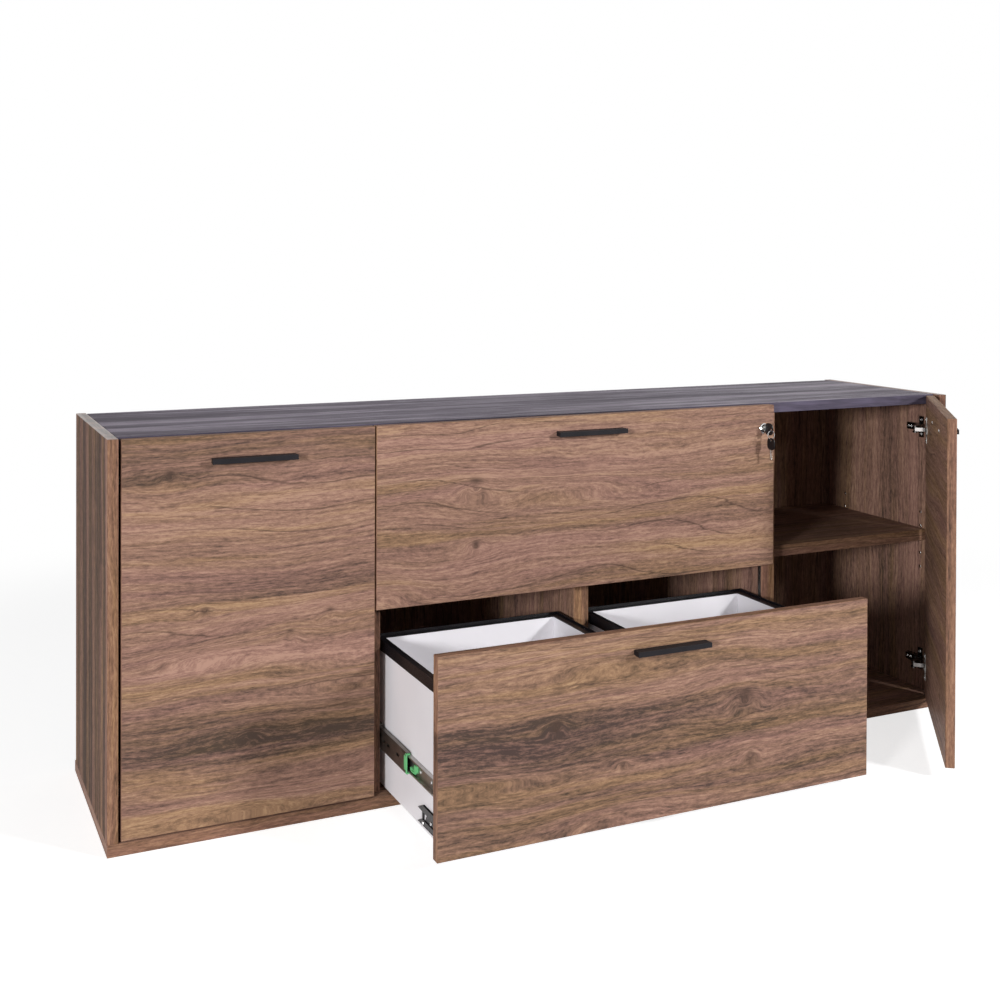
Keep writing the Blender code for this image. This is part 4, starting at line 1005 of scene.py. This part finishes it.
def handle_screws():
    """The heads of the screws that hold each door's handle, on the door's inner face."""
    inner_y = FRONT + FRONT_BOARD - SCREW_SUNK
    for side, mirror in SIDES:
        places = []
        for off in (-HANDLE_SCREW_OFF, HANDLE_SCREW_OFF):
            at = on_door(side, mirror * HANDLE_X + off, inner_y, HANDLE_SCREW_Z)
            places.append((at, behind_door(side), HANDLE_SCREW_RADIUS))
        screws(f"handle_screws_{side}", places, BRIGHT, f"{side}_door")


def turned_on_panel(name, face, hand, profile, steps, closed):
    """One piece of turned parts in a panel's pin holes, at whole steps of the rows above the pins."""
    def fill(work):
        for y in PIN_ROWS:
            for step in steps:
                place = (face, y, PIN_Z + step * HOLE_PITCH)
                lathe(work, profile, looking(place, (hand, 0.0, 0.0)), closed)

    return piece_from(name, fill, BRIGHT, "carcass")


def pins_and_holes():
    """Steel sleeves on the shelf pins, and a pressed ring in each free hole of their rows."""
    panels = (
        ("side_left", -SIDE_INNER, 1), ("partition_left", -PARTITION_OUTER, -1),
        ("partition_right", PARTITION_OUTER, 1), ("side_right", SIDE_INNER, -1),
    )
    for name, face, hand in panels:
        made = turned_on_panel(f"pin_sleeves_{name}", face, hand, SLEEVE, (0,), False)
        made = turned_on_panel(f"hole_rings_{name}", face, hand, HOLE_RING, (-2, -1, 1, 2), True)


def grip_mesh(work, matrix, hole_radius):
    """A key's moulded grip: rounded corners, a rim round its edge, and a real hole for the ring."""
    half = GRIP / 2
    face = GRIP_THICK / 2
    outer = []
    for c, s in circle(GRIP_POINTS):
        bulge = (abs(c) ** GRIP_SQUARE + abs(s) ** GRIP_SQUARE) ** (-1 / GRIP_SQUARE)
        outer.append((c * bulge * half - half, s * bulge * half))
    inner = [(GRIP_HOLE_AT + hole_radius * c, hole_radius * s) for c, s in circle(GRIP_POINTS)]
    shrunk = [((x + half) * 0.93 - half, y * 0.93) for x, y in outer]
    back_hole = loop_at(work, matrix, inner, -face)
    back_edge = loop_at(work, matrix, outer, -face + GRIP_RIM)
    front_edge = loop_at(work, matrix, outer, face - GRIP_RIM)
    front_hole = loop_at(work, matrix, inner, face)
    back_rim = loop_at(work, matrix, shrunk, -face)
    front_rim = loop_at(work, matrix, shrunk, face)
    skin(work, back_hole, back_rim, back_edge, front_edge, front_rim, front_hole, back_hole)


def blade_mesh(work, matrix, length, cuts):
    """A flat steel blade with its cuts along one edge and a raised spine that leaves a groove."""
    half = BLADE_HALF
    outline = [(BLADE_BACK, -half), (BLADE_BACK, half), (length - 0.0025, half), (length, half - 0.0028)]
    x = length - 0.0028
    outline.append((x, -half + 0.0010))
    for deep in cuts:
        outline += [(x - 0.0008, -half + deep), (x - 0.0020, -half + deep), (x - 0.0028, -half + 0.0004)]
        x -= 0.0030
    outline.append((x - 0.001, -half))
    prism(work, outline, matrix, BLADE_THICK)
    spine = [(BLADE_BACK, 0.0010), (BLADE_BACK, half), (length - 0.003, half), (length - 0.0045, 0.0010)]
    for up in (-1, 1):
        prism(work, spine, matrix @ Matrix.Translation((0.0, 0.0, up * 0.0007)), 0.0004)


def coil_mesh(work, centre):
    """The split ring: turns of round wire about Y that drift apart along it."""
    total = RING_TURNS * RING_POINTS
    loops = []
    for k in range(total + 1):
        angle = 2 * math.pi * k / RING_POINTS
        out = Vector((math.sin(angle), 0.0, math.cos(angle)))
        drift = Vector((0.0, (k / total - 0.5) * RING_DRIFT, 0.0))
        middle = centre + drift + out * RING_RADIUS
        offs = [(out * c + Vector((0.0, s, 0.0))) * RING_WIRE_RADIUS for c, s in circle(WIRE_POINTS)]
        loops.append([work.verts.new(middle + off) for off in offs])
    skin(work, *loops)
    work.faces.new(loops[0][::-1])
    work.faces.new(loops[-1])


def keys():
    """The key in the lock, the spare key below it and the split ring between them."""
    x, y, z = LOCK
    collar = y - LOCK_COLLAR
    hook_y = collar + GRIP_HOLE_AT
    lock_turn = Matrix.Translation((x, collar, z)) @ FACING_X
    spare_turn = Matrix.Translation((x, hook_y, z - SPARE_DROP)) @ HANGING

    grip = piece_from("key_grip", lambda work: grip_mesh(work, lock_turn, KEY_HOLE), PLASTIC, "key_and_plug")
    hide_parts("key")
    blade = piece_from(
        "key_blade", lambda work: blade_mesh(work, lock_turn, KEY_BLADE, ()), BRIGHT, "key_and_plug",
    )
    spare = piece_from(
        "spare_grip", lambda work: grip_mesh(work, spare_turn, SPARE_HOLE), PLASTIC, "spare_key",
    )
    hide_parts("spare_key")
    spare_blade = piece_from(
        "spare_blade", lambda work: blade_mesh(work, spare_turn, SPARE_BLADE, BLADE_CUTS),
        BRIGHT, "spare_key",
    )
    middle = Vector((x, hook_y, z - RING_DROP))
    ring = piece_from("split_ring", lambda work: coil_mesh(work, middle), CHROME, "spare_key", smooth=True)


def wear(node, material):
    """Puts a finish in a CAD node's material slot."""
    piece = NODES[node]
    if not piece.material_slots:
        piece.data.materials.append(material)
    for place in piece.material_slots:
        place.material = material


def boards():
    """The decors of the carcass: upright grain on the panels, level grain on shelves and base."""
    # The left side's darker planks hold painted shade as well as the board's own stripes.
    wear("side_panel_left", walnut(
        "walnut_side", Z, Y, origin=(0.0, FRONT), seed=3.0,
        planks=SIDE_PLANKS, gloss=0.04, rough=0.70, cap=0.96,
    ))
    upright = walnut(
        "walnut_upright", Z, Y, origin=(0.0, FRONT), seed=17.0,
        planks=INNER_PLANKS, gloss=0.05, rough=0.66, cap=0.75,
    )
    # The back panels and the shelves are darkened to 0.7 and 0.68 as painted shade inside the bays.
    back_grain = walnut("walnut_back", Z, X, seed=11.0, painted_shade_scale=0.7, gloss=0.04, rough=0.70)
    level_grain = walnut("walnut_level", X, Y, seed=23.0, painted_shade_scale=0.68)
    for node in ("side_panel_right", "partition_left", "partition_center", "partition_right"):
        wear(node, upright)
    for node in ("shelf_left", "shelf_right"):
        wear(node, level_grain)
    for node in ("back_panel_left", "back_panel_right"):
        wear(node, back_grain)
    wear("base_panel", walnut("walnut_base", X, Y, seed=29.0))
    wear("top_panel", charcoal("charcoal_top"))


def fronts():
    """The decors of both doors and both drawer fronts, each from its front's upper left corner."""
    door_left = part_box("door_left")[0].x
    drawer_low, drawer_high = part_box("drawer_front_upper")
    lower_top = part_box("drawer_front_lower")[1].z
    wear("door_left", walnut(
        "walnut_door_left", X, Z, -1.0, (door_left, drawer_high.z), 31.0,
        planks=DOOR_PLANKS, patches=DOOR_PATCHES, knots=DOOR_KNOTS, arches=DOOR_ARCHES,
    ))
    wear("door_right", walnut(
        "walnut_door_right", X, Z, -1.0, (RIGHT_DOOR_EDGE, drawer_high.z), 47.0,
        turn=math.radians(DOOR_ANGLE), pivot=DOOR_PIVOT,
        planks=RIGHT_PLANKS, patches=RIGHT_PATCHES, knots=RIGHT_KNOTS,
    ))
    wear("drawer_front_upper", walnut(
        "walnut_front_upper", X, Z, -1.0, (drawer_low.x, drawer_high.z), 59.0,
        planks=UPPER_PLANKS, patches=UPPER_PATCHES, knots=UPPER_KNOTS, arches=UPPER_ARCHES,
    ))
    wear("drawer_front_lower", walnut(
        "walnut_front_lower", X, Z, -1.0, (drawer_low.x, lower_top), 71.0,
        planks=LOWER_PLANKS, patches=LOWER_PATCHES, knots=LOWER_KNOTS, arches=LOWER_ARCHES,
    ))


def fittings():
    """The finishes of handles, rails, hinges, slides and lock, by how their nodes' names start."""
    finishes = {
        "handle_": POWDER, "file_rail": PLASTIC, "hinge_arm": NICKEL, "hinge_link": LINK_STEEL,
        "hinge_cup": STEEL, "slide_mid": GREY_STEEL, "slide_outer": STEEL,
        "lock_housing": CHROME, "lock_plug": STEEL, "lock_bar": STEEL,
    }
    for node in NODES:
        for start, material in finishes.items():
            if node.startswith(start):
                wear(node, material)


camera()
pale_world()
pale_floor()
lamps()

WHITE = melamine("white_melamine")
PLASTIC = coated("black_plastic", (0.006, 0.005, 0.007), (0.010, 0.009, 0.011), 0.26, 0.40, gloss=0.25)
POWDER = coated("black_powder", (0.008, 0.007, 0.009), (0.014, 0.012, 0.015), 0.50, 0.62, gloss=0.18)
GREEN = coated("green_plastic", (0.130, 0.520, 0.200), (0.190, 0.640, 0.270), 0.35, 0.50)
STEEL = metal("zinc_steel", (0.56, 0.55, 0.53), 0.28, 0.42)
BRIGHT = metal("bright_steel", (0.80, 0.80, 0.80), 0.16, 0.26)
CHROME = metal("chrome", (0.82, 0.82, 0.83), 0.08, 0.14)
NICKEL = metal("dark_nickel", (0.13, 0.12, 0.115), 0.20, 0.34)
GREY_STEEL = metal("grey_steel", (0.24, 0.22, 0.20), 0.34, 0.48)
LINK_STEEL = metal("link_steel", (0.34, 0.32, 0.31), 0.30, 0.44)

boards()
fronts()
fittings()
boxes_and_slides()
hinge_screws()
handle_screws()
pins_and_holes()
keys()
